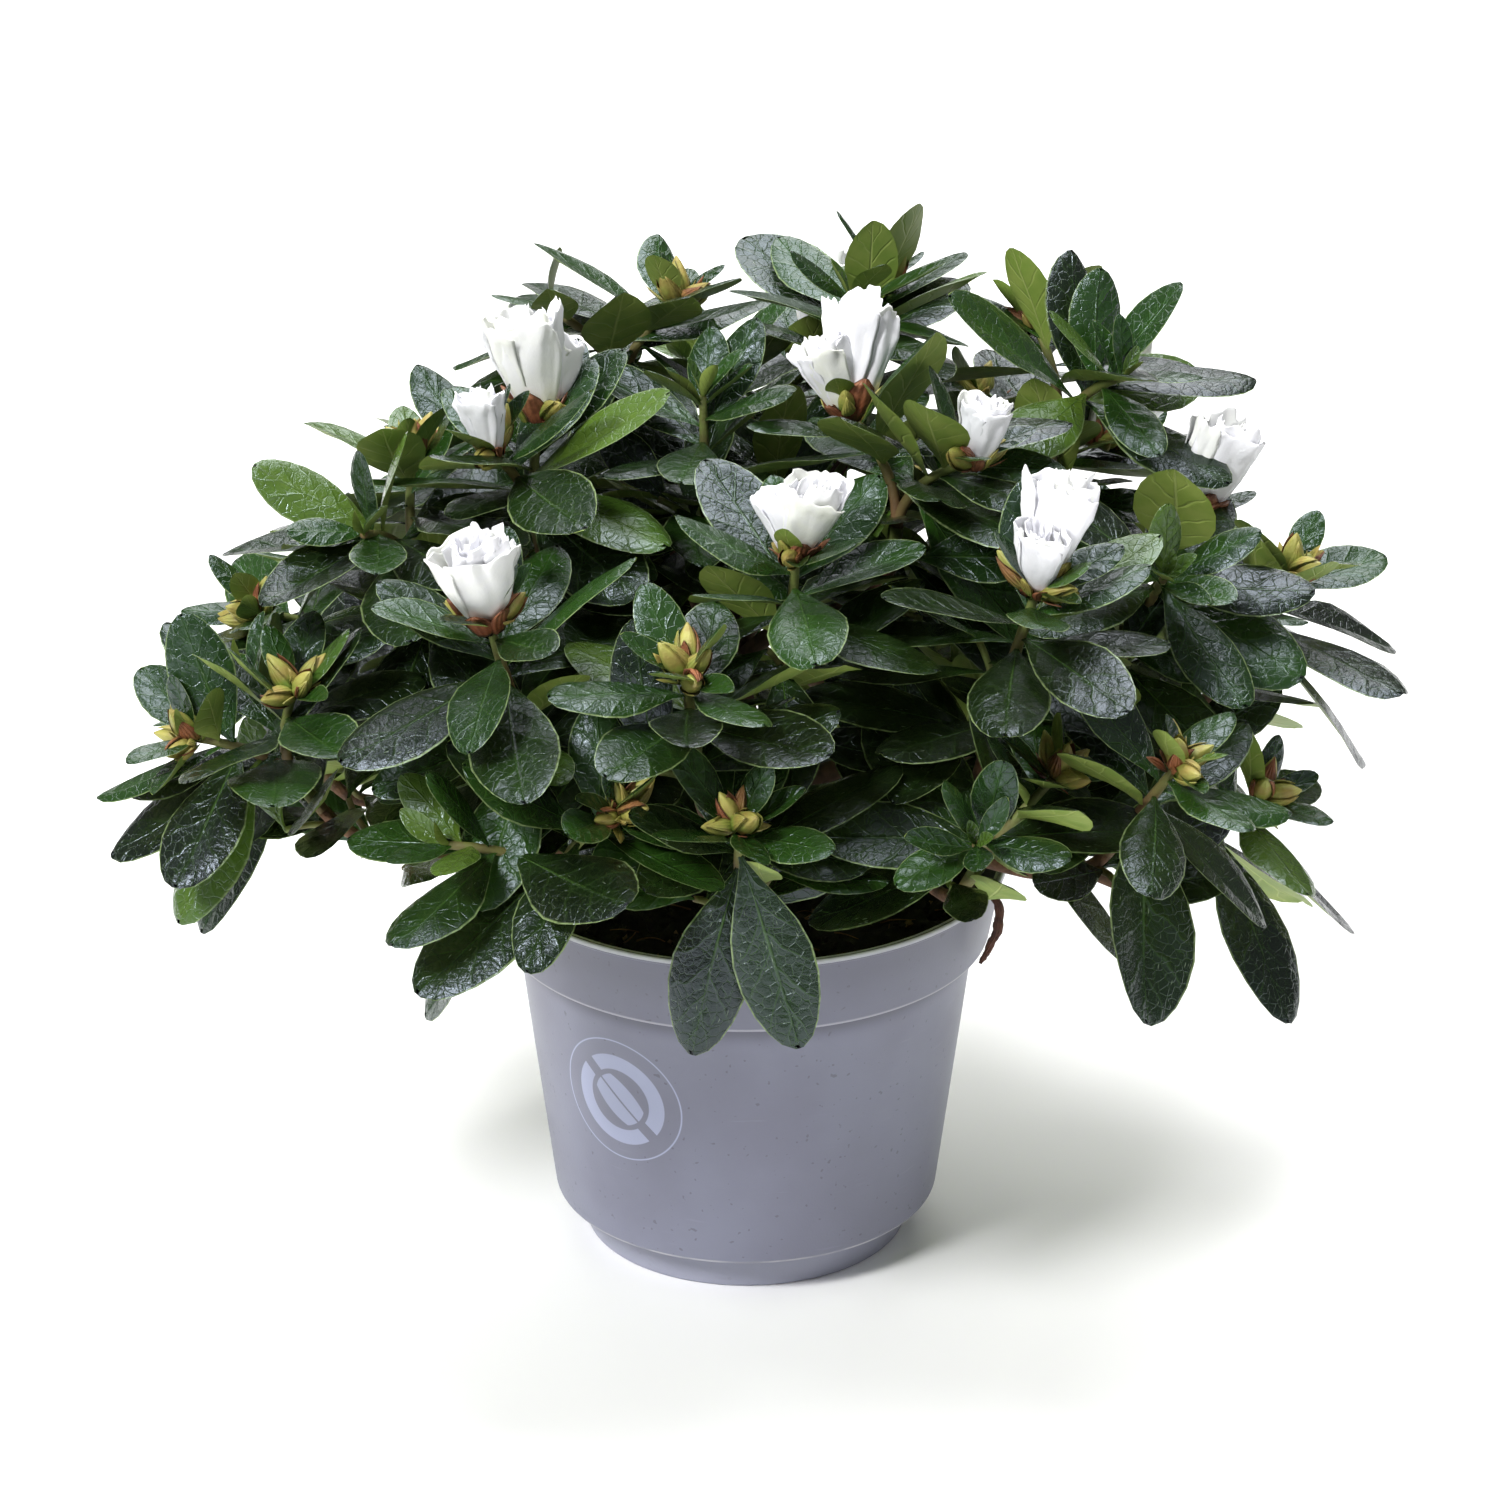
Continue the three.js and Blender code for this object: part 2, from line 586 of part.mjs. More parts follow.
// ---------------------------------------------------------------- the plant
function build() {
  const plant = new THREE.Group();
  const add = (name, solid, material) => plant.add(meshOf(name, solid, material));
  const pot = potSolid();
  const compost = compostSolid();
  const stem = stemSolid();
  add("pot", pot, MATERIALS.pot);
  add("compost", compost, MATERIALS.compost);
  add("stem", stem, MATERIALS.bark);

  const masses = FAMILIES.flatMap((family) => family.masses);
  masses.forEach((mass, number) => {
    mass.number = number;
    mass.leaves = 0;
    placeMass(mass);
    mass.tips = shootTips(mass);
  });

  const fixed = [boxed(pot, null), boxed(compost, null), boxed(stem, null)];
  const boughs = [];
  const clear = [stemSolid(GAP)]; // what the next bough is cut clear of
  FAMILIES.forEach((family, order) => {
    let main = null;
    family.masses.forEach((mass, rank) => {
      const curve = boughCurve(family, order, mass, main);
      const base = rank ? BOUGH.sideBase : BOUGH.base;
      const limb = (grow, turn) =>
        limbSolid(curve, taper(base + grow, BOUGH.tip + grow), BOUGH.sides, BOUGH.steps, turn);
      const cut = (turn) => simplified(wasm.Manifold.difference([limb(0, turn), ...clear]));
      const turn = TURNS.find((tried) => cut(tried));
      const bough = { name: `bough_${mass.name}`, curve, solid: cut(turn) };
      clear.push(limb(GAP, turn));
      boughs.push(bough);
      fixed.push(boxed(bough.solid, null));
      if (!rank) {
        const sides = family.masses.length - 1;
        main = { curve, nextFork: 0.3, forkStep: 0.36 / Math.max(1, sides) };
      }
    });
  });
  boughs.forEach((bough) => add(bough.name, bough.solid, MATERIALS.bark));

  for (const mass of masses) fixed.push(...growTwigs(mass).map((piece) => boxed(piece, mass)));
  growLeaves(masses, fixed);
  for (const mass of masses) {
    add(`foliage_${mass.name}`, mass.solid, MATERIALS.foliage);
  }
  return plant;
}

export default build();
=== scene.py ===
"""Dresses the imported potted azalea: its pot, compost, bark, twigs, leaves, buds and blossom.

The plant grows by the rule of the part's own source, written again here, so every shoot stands
where the solids have it. Lengths of the growth rule are in millimetres; meshes are in metres.
"""

from __future__ import annotations

import logging
import math
from dataclasses import dataclass, field
from enum import Enum, IntEnum
from typing import Callable, Iterable, Sequence

import bmesh
import bpy
import numpy as np
from bpy.types import Material, Mesh, Node, NodeOutputs, NodeSocket, NodeTree, Object
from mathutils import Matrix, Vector
from mathutils.bvhtree import BVHTree

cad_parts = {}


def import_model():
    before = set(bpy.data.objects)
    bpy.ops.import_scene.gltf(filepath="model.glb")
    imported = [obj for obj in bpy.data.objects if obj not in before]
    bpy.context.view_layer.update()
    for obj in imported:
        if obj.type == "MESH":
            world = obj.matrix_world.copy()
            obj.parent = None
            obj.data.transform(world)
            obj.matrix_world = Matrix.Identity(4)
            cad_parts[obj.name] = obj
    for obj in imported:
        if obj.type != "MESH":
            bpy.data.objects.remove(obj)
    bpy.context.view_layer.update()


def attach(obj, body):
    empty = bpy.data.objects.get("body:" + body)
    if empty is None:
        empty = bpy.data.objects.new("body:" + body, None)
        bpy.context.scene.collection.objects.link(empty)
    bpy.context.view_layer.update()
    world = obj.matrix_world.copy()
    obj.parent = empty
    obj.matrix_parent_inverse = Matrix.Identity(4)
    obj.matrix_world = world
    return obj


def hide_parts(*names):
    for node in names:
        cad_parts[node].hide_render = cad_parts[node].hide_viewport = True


logging.basicConfig(level=logging.INFO, format="%(name)s: %(message)s")
log = logging.getLogger("azalea")

Array = np.ndarray
Point = tuple[float, float, float]
MM = 0.001
GOLDEN_TURN = 137.5
VEIN_PAIRS = 5.5
UP = np.array([0.0, 0.0, 1.0])
FRONT_TO_BACK = np.array([0.0, 1.0, 0.0])


# --- chance and vectors
def chance(*keys: int) -> float:
    """Gives a repeatable number from 0 to 1 for a set of whole-number keys.

    Args:
        keys: what the number belongs to, such as mass, shoot and leaf.

    Returns:
        The number, the same one that the part's source draws for these keys.
    """
    mask, h = 0xFFFFFFFF, 2166136261
    for key in keys:
        h = ((h ^ (key + 101)) * 16777619) & mask
    h = ((h ^ (h >> 15)) * 2246822507) & mask
    h = ((h ^ (h >> 13)) * 3266489909) & mask
    return ((h ^ (h >> 16)) & mask) / 4294967296


def swing(*keys: int) -> float:
    """Gives a repeatable number from -1 to 1 for a set of keys."""
    return 2 * chance(*keys) - 1


def unit(v: Array) -> Array:
    """Scales vectors to length 1 along their last axis."""
    return v / np.maximum(np.linalg.norm(v, axis=-1, keepdims=True), 1e-12)


def turned(v: Array, axis: Array, degrees: float) -> Array:
    """Turns a vector about an axis: v cos a + (k x v) sin a + k (k.v)(1 - cos a)."""
    a = math.radians(degrees)
    k = unit(axis)
    return v * math.cos(a) + np.cross(k, v) * math.sin(a) + k * np.dot(k, v) * (1 - math.cos(a))


def polar(r: Array, a: Array, z: Array | float = 0.0) -> Array:
    """Gives the points (r cos a, r sin a, z)."""
    return np.stack(np.broadcast_arrays(r * np.cos(a), r * np.sin(a), z), -1)


def lerp(a: float, b: float, t: float) -> float:
    """Goes from a to b as t goes from 0 to 1."""
    return a + (b - a) * t


def bezier(points: Sequence[Array], t: Array) -> Array:
    """Evaluates a Bezier curve: the sum of binomial(n, i) t^i (1 - t)^(n - i) times its points."""
    t = np.asarray(t, float)[..., None]
    n = len(points) - 1
    return sum(math.comb(n, i) * t**i * (1 - t) ** (n - i) * p for i, p in enumerate(points))


def bezier_heading(points: Sequence[Array], t: float) -> Array:
    """Gives the unit tangent of a Bezier curve, from the curve of its points' differences."""
    return unit(bezier([b - a for a, b in zip(points, points[1:])], t))


def waves(p: Array, size: float, seed: int, count: int = 9) -> Array:
    """Gives soft noise from -1 to 1: the mean of sines along random directions, about one wave per size.

    Args:
        p: points, with x, y and z along the last axis.
        size: length of a typical wave, in the points' unit.
        seed: picks the directions and phases.
        count: how many sines are summed.

    Returns:
        One number for each point.
    """
    rng = np.random.default_rng(seed)
    heading = unit(rng.normal(size=(count, 3))) * rng.uniform(0.6, 1.7, (count, 1)) * 2 * np.pi / size
    phase = rng.uniform(0, 2 * np.pi, count)
    return np.sin(p @ heading.T + phase).sum(-1) / math.sqrt(count) / 1.4


# --- sizes, as in the source
@dataclass(frozen=True)
class PotSize:
    """The nursery pot, in millimetres."""

    height: float = 100.5
    rim_radius: float = 65.0
    lip: float = 1.6
    wall: float = 1.3
    floor: float = 1.6
    band_bottom: float = 80.0
    band_radius: float = 60.6
    body_top_radius: float = 56.9
    body_foot_radius: float = 48.4
    ledge: float = 10.6
    foot_top_radius: float = 41.8
    foot_radius: float = 40.5
    drain_count: int = 6
    drain_radius: float = 3.0
    drain_ring: float = 29.0


@dataclass(frozen=True)
class CompostSize:
    """Heights of the compost's surface."""

    edge: float = 88.5
    middle: float = 92.0
    flat_radius: float = 11.0


@dataclass(frozen=True)
class WoodSize:
    """Stem, boughs and twigs."""

    gap: float = 0.3
    stem_foot: float = 7.2
    stem_neck: float = 5.2
    stem_top: float = 4.2
    stem_height: float = 25.0
    stem_lean: tuple[float, float] = (2.5, 2.0)
    bough_base: float = 2.9
    side_base: float = 2.2
    bough_tip: float = 1.5
    bough_rise: float = 38.0
    twig_knot: float = 1.9
    twig_base: float = 1.5
    twig_tip: float = 1.05
    twig_depth: float = 34.0
    twig_stalk: float = 9.0


@dataclass(frozen=True)
class DomeSize:
    """The low dome that the shoots stand on."""

    centre: Point = (0.0, 0.0, 120.0)
    size: Point = (135.0, 130.0, 105.0)
    lift: float = 0.9


@dataclass(frozen=True)
class LeafRule:
    """How leaves stand round a shoot, as in the source."""

    per_shoot: int = 12
    turn: float = GOLDEN_TURN
    outer_length: float = 50.0
    inner_length: float = 17.0
    width: float = 0.44
    outer_tilt: float = 100.0
    inner_tilt: float = 38.0
    spacing: float = 1.7
    droop: float = 0.3
    overhang: float = 16.0
    turn_sway: float = 12.0
    tilt_sway: float = 9.0
    roll_sway: float = 16.0
    size_sway: float = 0.12


@dataclass(frozen=True)
class SideTwigRule:
    """The finer twigs that a bough's outer part carries, and their small whorls of leaves."""

    shares: tuple[float, ...] = (0.36, 0.56, 0.73, 0.88)
    shortest: float = 16.0
    spread: float = 10.0
    foot_radius: float = 1.0
    tip_radius: float = 0.8
    leaves: int = 7
    spacing: float = 2.6
    leaf_scale: float = 0.86


@dataclass(frozen=True)
class Attempt:
    """One try at placing a leaf: turned, raised and shortened."""

    turn: float
    rise: float
    size: float


TRIES = tuple(Attempt(*row) for row in (
    (0, 0, 1), (24, 0, 1), (-24, 0, 1), (0, 24, 0.95), (20, 36, 0.85), (-20, 36, 0.85), (0, -14, 0.75),
    (0, 48, 0.7)))


class Tip(Enum):
    """What a shoot carries at its tip."""

    BLOSSOM = "F"
    PAIR = "p"
    SMALL_BLOSSOM = "f"
    BUDS = "b"
    LEAVES = "l"


@dataclass
class Mass:
    """One foliage mass of the source: its row in the table, and what the rule works out from it."""

    family: str
    name: str
    at: float
    out: float
    up: float
    carries: str
    apart: float = 0.0
    turn: float = 0.0
    number: int = 0
    middle: Array = field(init=False)
    axis: Array = field(init=False)
    foot: Array = field(init=False)
    tips: list[Array] = field(init=False)


MASS_ROWS: dict[str, tuple[tuple, ...]] = {
    "front": (
        ("front_skirt", -91, 98, 152, "b"),
        ("front_shoulder", -99, 86, 184, "b"),
        ("front_blossom", -79, 60, 203, "p"),
    ),
    "right_front": (
        ("right_front_skirt", -36, 124, 156, "b"),
        ("right_front_low", -52, 102, 148, "lb", 34, 20),
        ("right_front_blossom", -43, 92, 196, "F"),
    ),
    "right": (
        ("far_right", 4, 134, 172, "b"),
        ("far_right_low", -12, 128, 128, "b"),
        ("right_blossom", -4, 104, 184, "lF", 50, -8),
        ("right_back_skirt", 30, 124, 150, "bl", 38, 20),
    ),
    "back_right": (
        ("back_right_skirt", 60, 120, 152, "bb", 38, 10),
        ("back_right_shoulder", 44, 104, 188, "Fb", 38, 15),
        ("back_skirt", 91, 118, 152, "lb", 38, -10),
    ),
    "back_left": (
        ("back_left_skirt", 122, 120, 152, "bb", 38, 15),
        ("back_shoulder", 88, 96, 196, "Fl", 36, -15),
        ("back_left_shoulder", 130, 98, 182, "bb", 38, 20),
    ),
    "left": (
        ("left_back_skirt", 153, 124, 150, "lb", 38, -15),
        ("left_shoulder", -172, 86, 200, "bl", 44, -22),
        ("left_skirt", -178, 122, 148, "l"),
    ),
    "front_left": (
        ("left_front_skirt", -119, 100, 146, "lb", 42, 25),
        ("far_left", -158, 128, 158, "bb", 30, 60),
        ("left_front_blossom", -129, 94, 192, "F"),
    ),
    "leader": (
        ("crown_middle", 150, 12, 218, "l"),
        ("crown_back_left", 122, 62, 226, "bl", 36, -47),
        ("crown_left", -166, 56, 216, "Ff", 22, -48),
        ("crown_front", -22, 42, 216, "fF", 38, 76),
        ("crown_right", 22, 88, 220, "lb", 42, 4),
        ("crown_back", 62, 64, 228, "lb", 30, -80),
    ),
}


# --- meshes from arrays
@dataclass
class Shape:
    """Corners and faces of one kind of thing, gathered batch by batch until they become one piece."""

    batches: list[tuple] = field(default_factory=list)

    def add(self, corners: Array, faces: Array, flat: Array, atlas: Array | None = None,
            finish: Array | int = 0, tone: Array | float = 0.0) -> None:
        """Adds a batch of faces.

        Args:
            corners: corner places in metres.
            faces: corner numbers, three or four to a face.
            flat: each face corner's place on the thing's own surface.
            atlas: each face corner's place in the bake atlas, if the piece has one.
            finish: material number of each face, or of all.
            tone: a number from 0 to 1 for each corner, or for all, that varies its colour.
        """
        finish = np.broadcast_to(np.asarray(finish, np.int32), (len(faces),))
        tone = np.broadcast_to(np.asarray(tone, np.float32), (len(corners),))
        self.batches.append((corners, faces, flat, atlas, finish, tone))

    def add_tubes(self, paths: Array, radii: Array | float, sides: int, tone: Sequence[float] = (0.5,),
                  relief: Callable[[Array], Array] | None = None) -> None:
        """Adds round limbs: each ring lies square to its path, at the path's point plus the radius times
        (cos a, sin a) in two directions square to the path; a point at each end closes the limb.

        Args:
            paths: (limbs, steps, 3) points in metres.
            radii: radius for each step, broadcast to (limbs, steps).
            sides: corners of a ring.
            tone: the limbs' tones, or one for all.
            relief: gives a height to add to the radius for ring points, in metres.
        """
        count, steps, _ = paths.shape
        heading = unit(np.gradient(paths, axis=1))
        across = np.cross(heading.mean(1), np.array([0.31, 0.17, 0.93]))
        lost = np.linalg.norm(across, axis=1) < 0.2
        across[lost] = np.cross(heading.mean(1)[lost], np.array([1.0, 0.1, 0.0]))
        first = unit(np.cross(np.broadcast_to(across[:, None], paths.shape), heading))
        second = np.cross(heading, first)
        angle = np.linspace(0, 2 * np.pi, sides, endpoint=False)
        ring = first[:, :, None] * np.cos(angle)[:, None] + second[:, :, None] * np.sin(angle)[:, None]
        corners = paths[:, :, None] + ring * np.broadcast_to(radii, (count, steps))[..., None, None]
        if relief is not None:
            corners = corners + ring * relief(corners)[..., None]
        whole = np.concatenate([corners.reshape(count, -1, 3), paths[:, [0, -1]]], 1)
        size, turn = whole.shape[1], np.arange(sides)
        after, last = (turn + 1) % sides, (steps - 1) * sides
        caps = np.concatenate([np.stack([np.full(sides, size - 2), after, turn], 1),
                               np.stack([np.full(sides, size - 1), last + turn, last + after], 1)])
        places = grid_shares(steps, sides + 1)[grid_faces(steps, sides + 1)]
        shift = (np.arange(count) * size)[:, None, None]
        quads = grid_faces(steps, sides, around=True) + shift
        self.add(whole.reshape(-1, 3), quads.reshape(-1, 4), np.tile(places, (count, 1, 1)),
                 tone=np.repeat(np.broadcast_to(tone, count), size))
        self.add(np.zeros((0, 3)), (caps + shift - count * size).reshape(-1, 3),
                 np.tile([(0.5, 0.5), (0.4, 0.4), (0.6, 0.4)], (count * len(caps), 1, 1)))

    def piece(self, name: str, materials: Sequence[Material], smooth: bool = True
              ) -> Object:
        """Makes the gathered batches into one mesh object at the origin.

        Args:
            name: the piece's name.
            materials: its materials, in the order of the faces' numbers.
            smooth: whether its faces are shaded smooth.

        Returns:
            The new object, linked into the scene.
        """
        corners, faces = together(self.batches)
        _, _, flat, atlas, finish, tone = zip(*self.batches)
        mesh = bpy.data.meshes.new(name)
        mesh.from_pydata(corners.tolist(), [], faces)
        for title, parts in (("surface", flat), ("OFBake", atlas)):
            if parts[0] is not None:
                layer = mesh.uv_layers.new(name=title, do_init=False)
                places = np.concatenate([part.reshape(-1, 2) for part in parts])
                layer.uv.foreach_set("vector", places.astype(np.float32).ravel())
        mesh.uv_layers["surface"].active_render = True
        mesh.polygons.foreach_set("material_index", np.concatenate(finish))
        mesh.polygons.foreach_set("use_smooth", np.full(len(faces), smooth))
        mesh.attributes.new("tone", "FLOAT", "POINT").data.foreach_set("value", np.concatenate(tone))
        mesh.update()
        return add_object(name, mesh, materials)


def add_object(name: str, data: bpy.types.ID, materials: Sequence[Material] = ()) -> Object:
    """Puts a mesh, camera or lamp into the scene as an object at the origin.

    Args:
        name: the object's name.
        data: its data.
        materials: a mesh's materials, in the order of the faces' numbers.

    Returns:
        The object.
    """
    for material in materials:
        data.materials.append(material)
    made = bpy.data.objects.new(name, data)
    bpy.context.collection.objects.link(made)
    return made


def grid_faces(rows: int, columns: int, around: bool = False) -> Array:
    """Numbers the corners of a grid's cells, row by row.

    Args:
        rows: rows of points.
        columns: points of a row.
        around: whether the last column is joined to the first.

    Returns:
        Four corner numbers for each cell.
    """
    r, c = np.meshgrid(np.arange(rows - 1), np.arange(columns - (0 if around else 1)), indexing="ij")
    r, c = r.ravel(), c.ravel()
    n = (c + 1) % columns
    return np.stack([r * columns + c, r * columns + n, (r + 1) * columns + n, (r + 1) * columns + c], 1)


def grid_shares(rows: int, columns: int) -> Array:
    """Gives each grid point's (row share, column share), 0 to 1, row by row."""
    along, across = np.meshgrid(np.linspace(0, 1, rows), np.linspace(0, 1, columns), indexing="ij")
    return np.stack([along.ravel(), across.ravel()], 1)


def closed_sheets(middle: Array, thick: Array | float, under: Sequence[int] | None = None
                  ) -> tuple[Array, Array, Array, Array]:
    """Gives sheets a thickness: each sheet's two sides are its middle plus and minus half the thickness
    along its normal, the cross product of its two slopes, and share their rim.

    Args:
        middle: (sheets, rows, columns, 3) points of the middle surfaces, in metres.
        thick: thickness for each point, broadcast to (sheets, rows, columns).
        under: the columns that the under side keeps, all if not given.

    Returns:
        Corners, faces, each face corner's (row share, column share), and for each face 0 on the upper
        side and 1 on the lower side.
    """
    count, rows, columns, _ = middle.shape
    kept = np.arange(columns) if under is None else np.asarray(under)
    normal = unit(np.cross(np.gradient(middle, axis=1), np.gradient(middle, axis=2)))
    half = normal * (np.broadcast_to(thick, middle.shape[:3])[..., None] / 2)
    half[:, [0, -1]] = 0
    half[:, :, [0, -1]] = 0
    size = rows * columns
    ids = np.arange(size).reshape(rows, columns)
    within = ids[1:-1, kept[1:-1]].ravel()
    corners = np.concatenate([(middle + half).reshape(count, size, 3),
                              (middle - half).reshape(count, size, 3)[:, within]], 1)
    below = ids.ravel().copy()
    below[within] = size + np.arange(len(within))
    upper = grid_faces(rows, columns)
    lower = ids[:, kept].ravel()[grid_faces(rows, len(kept))][:, [0, 3, 2, 1]]
    flat = grid_shares(rows, columns)
    every = np.concatenate([upper, below[lower]]) + (np.arange(count) * corners.shape[1])[:, None, None]
    places = np.concatenate([flat[upper], flat[lower]])
    return (corners.reshape(-1, 3), every.reshape(-1, 4), np.tile(places, (count, 1, 1)),
            np.tile(np.repeat([0, 1], [len(upper), len(lower)]), count))


def atlas_cells(places: Array, side: Array, count: int, filled: float = 0.86) -> Array:
    """Lays each sheet's two sides in cells of their own in one square atlas, in rows of a grid.

    Args:
        places: (sheets * faces, 4, 2) places on the sheets.
        side: side of each face.
        count: number of sheets.
        filled: the share of a cell's width that a side fills.

    Returns:
        The places in the atlas.
    """
    cell = np.repeat(np.arange(count), len(places) // count) * 2 + side
    rows = math.ceil(math.sqrt(count))
    columns = math.ceil(2 * count / rows)
    origin = np.stack([cell % columns / columns, cell // columns / rows], 1)
    inner = 0.5 + (places - 0.5) * filled
    return origin[:, None, :] + inner[..., ::-1] / (columns, rows)


def together(parts: Sequence[tuple]) -> tuple[Array, list[list[int]]]:
    """Joins the corners and faces of several parts.

    Args:
        parts: corners and faces of each part, and anything after them.

    Returns:
        All corners, and all faces numbered among them.
    """
    corners, faces, *_ = zip(*parts)
    starts = np.cumsum([0] + [len(part) for part in corners[:-1]])
    return np.concatenate(corners), [face for start, part in zip(starts, faces)
                                     for face in (part + start).tolist()]


# --- growth
@dataclass
class Limb:
    """A stem, bough or twig: a Bezier curve's points, the radius at its two ends in millimetres, and
    the share of the curve it grows along, which for a side twig ends at its foremost leaf."""

    name: str
    points: list[Array]
    foot_radius: float
    tip_radius: float
    reach: float = 1.0


@dataclass
class Shoot:
    """A leafy shoot: its twig, the way it grows, how many leaves it has and what its tip carries."""

    family: str
    mass: int
    number: int
    limb: Limb
    axis: Array
    tip: Tip
    leaves: int
    spacing: float
    scale: float = 1.0
    low: bool = False

    def at(self, share: float) -> Array:
        """Gives the point at a share of the twig's curve."""
        return bezier(self.limb.points, np.array(share))

    def length(self) -> float:
        """Measures the twig along its curve."""
        line = bezier(self.limb.points, np.linspace(0, 1, 24))
        return float(np.linalg.norm(np.diff(line, axis=0), axis=1).sum())

    def foot_share(self, number: int) -> float:
        """Gives the share of the twig's curve where a leaf stands, numbered from the outermost."""
        back = 1 + (self.leaves - 1 - number) * self.spacing
        return max(0.15 if self.low else 0.3, 1 - back / self.length())

    def across(self) -> Array:
        """Gives the level direction square to the shoot's axis."""
        return unit(np.cross(UP, self.axis))


@dataclass
class Plant:
    """The stem, boughs, twigs and shoots, grown by the source's rule and carried on to finer twigs."""

    wood: WoodSize = field(default_factory=WoodSize)
    dome: DomeSize = field(default_factory=DomeSize)
    compost: CompostSize = field(default_factory=CompostSize)
    rule: LeafRule = field(default_factory=LeafRule)
    side_rule: SideTwigRule = field(default_factory=SideTwigRule)
    masses: list[Mass] = field(default_factory=list)
    boughs: list[Limb] = field(default_factory=list)
    twigs: list[Limb] = field(default_factory=list)
    shoots: list[Shoot] = field(default_factory=list)

    def outward(self, point: Array) -> Array:
        """Gives the way a shoot grows at a point: square to the dome, turned up to the light."""
        size = np.array(self.dome.size)
        v = unit((point - np.array(self.dome.centre)) / size / size)
        return unit(v + UP * self.dome.lift)

    def stem(self) -> list[Array]:
        """Gives the points of the stem's curve: up from the compost, with a lean at its top.

        Returns:
            The four points of a cubic curve.
        """
        foot = np.array([0, 0, self.compost.middle + self.wood.gap])
        top = np.array([*self.wood.stem_lean, self.compost.middle + self.wood.stem_height])
        rise = UP * self.wood.stem_height
        return [foot, foot + 0.4 * rise, top - 0.3 * rise, top]

    def place_mass(self, mass: Mass) -> None:
        """Works out a mass's middle, axis, foot and shoot tips.

        Args:
            mass: the mass, with its row's numbers, which takes the results.
        """
        mass.middle = polar(mass.out, math.radians(mass.at), mass.up)
        mass.axis = self.outward(mass.middle)
        mass.foot = mass.middle - mass.axis * self.wood.twig_depth
        side = turned(unit(np.cross(UP, mass.axis)), mass.axis, mass.turn)
        count = len(mass.carries)
        mass.tips = [mass.middle + side * (k - (count - 1) / 2) * mass.apart for k in range(count)]

    def bough(self, order: int, mass: Mass, main: Limb | None, fork: float) -> Limb:
        """Grows the bough of a mass: a family's first from the stem, and the others from the first.

        Args:
            order: the family's place in the table.
            mass: the mass it carries.
            main: the family's first bough, or None for that bough itself.
            fork: share of the main bough where this one leaves it.

        Returns:
            The bough, a cubic curve whose end comes square into the mass.
        """
        upright = mass.family == "leader"
        if main is None:
            start = bezier(self.stem(), np.array(1 if upright else 0.5 + 0.13 * (order % 4)))
            rise = math.radians(self.wood.bough_rise)
            heading = UP if upright else polar(math.cos(rise), math.radians(mass.at), math.sin(rise))
        else:
            start = bezier(main.points, np.array(fork))
            heading = unit(bezier_heading(main.points, fork) + 1.4 * unit(mass.foot - start))
        length = float(np.linalg.norm(mass.foot - start))
        points = [start, start + heading * 0.36 * length, mass.foot - mass.axis * 0.3 * length, mass.foot]
        base = self.wood.side_base if main else self.wood.bough_base
        return Limb(f"bough_{mass.name}", points, base, self.wood.bough_tip)

    def add_twig(self, limb: Limb, pull: float, **shoot: object) -> None:
        """Adds a twig and the shoot at its end.

        Args:
            limb: the twig.
            pull: how strongly the light turns the shoot outwards.
            shoot: the shoot's other fields.
        """
        axis = unit(bezier_heading(limb.points, 1) + pull * self.outward(limb.points[-1]))
        self.twigs.append(limb)
        self.shoots.append(Shoot(limb=limb, axis=axis, **shoot))

    def mass_twigs(self, mass: Mass) -> None:
        """Grows a mass's stalk and the twigs that fork from it, each with a shoot at its end.

        Args:
            mass: the mass, in its place.
        """
        fork = mass.foot + mass.axis * self.wood.twig_stalk
        self.twigs.append(Limb("stalk", [mass.foot - mass.axis, fork + mass.axis * 1.2],
                               self.wood.bough_tip, self.wood.twig_knot))
        for k, tip in enumerate(mass.tips):
            bend = fork + mass.axis * 0.45 * np.linalg.norm(tip - fork)
            twig = Limb("twig", [fork, bend, tip], self.wood.twig_base, self.wood.twig_tip)
            self.add_twig(twig, 1.5, family=mass.family, mass=mass.number, number=k,
                          tip=Tip(mass.carries[k]), leaves=self.rule.per_shoot, spacing=self.rule.spacing)

    def side_twigs(self, mass: Mass, bough: Limb) -> None:
        """Carries the rule on to finer twigs: short ones turn out of a bough's outer part, one above
        the other by the leaves' own angle, and end in small rosettes.

        Args:
            mass: the mass that the bough carries.
            bough: the bough.
        """
        rule = self.side_rule
        for k, share in enumerate(rule.shares):
            start = bezier(bough.points, np.array(share))
            along = bezier_heading(bough.points, share)
            around = GOLDEN_TURN * k + 360 * chance(mass.number, 39)
            side = unit(turned(unit(np.cross(UP, along)), along, around) + UP * 0.35)
            reach = rule.shortest + rule.spread * chance(mass.number, 40 + k, 1)
            points = [start, start + along * 0.5 * reach, start + unit(along + 0.9 * side) * reach]
            twig = Limb("side_twig", points, rule.foot_radius, rule.tip_radius, 0.0)
            self.add_twig(twig, 0.8, family=mass.family, mass=100 + mass.number, number=k,
                          tip=Tip.LEAVES, leaves=rule.leaves, spacing=rule.spacing,
                          scale=rule.leaf_scale, low=True)

    def grow(self) -> None:
        """Grows the whole plant."""
        for order, (family, rows) in enumerate(MASS_ROWS.items()):
            main: Limb | None = None
            fork = 0.3
            for rank, row in enumerate(rows):
                mass = Mass(family, *row, number=len(self.masses))
                self.place_mass(mass)
                bough = self.bough(order, mass, main, fork)
                if rank:
                    fork += 0.36 / max(1, len(rows) - 1)
                else:
                    main = bough
                self.masses.append(mass)
                self.boughs.append(bough)
                self.mass_twigs(mass)
        for mass, bough in zip(self.masses, self.boughs):
            self.side_twigs(mass, bough)


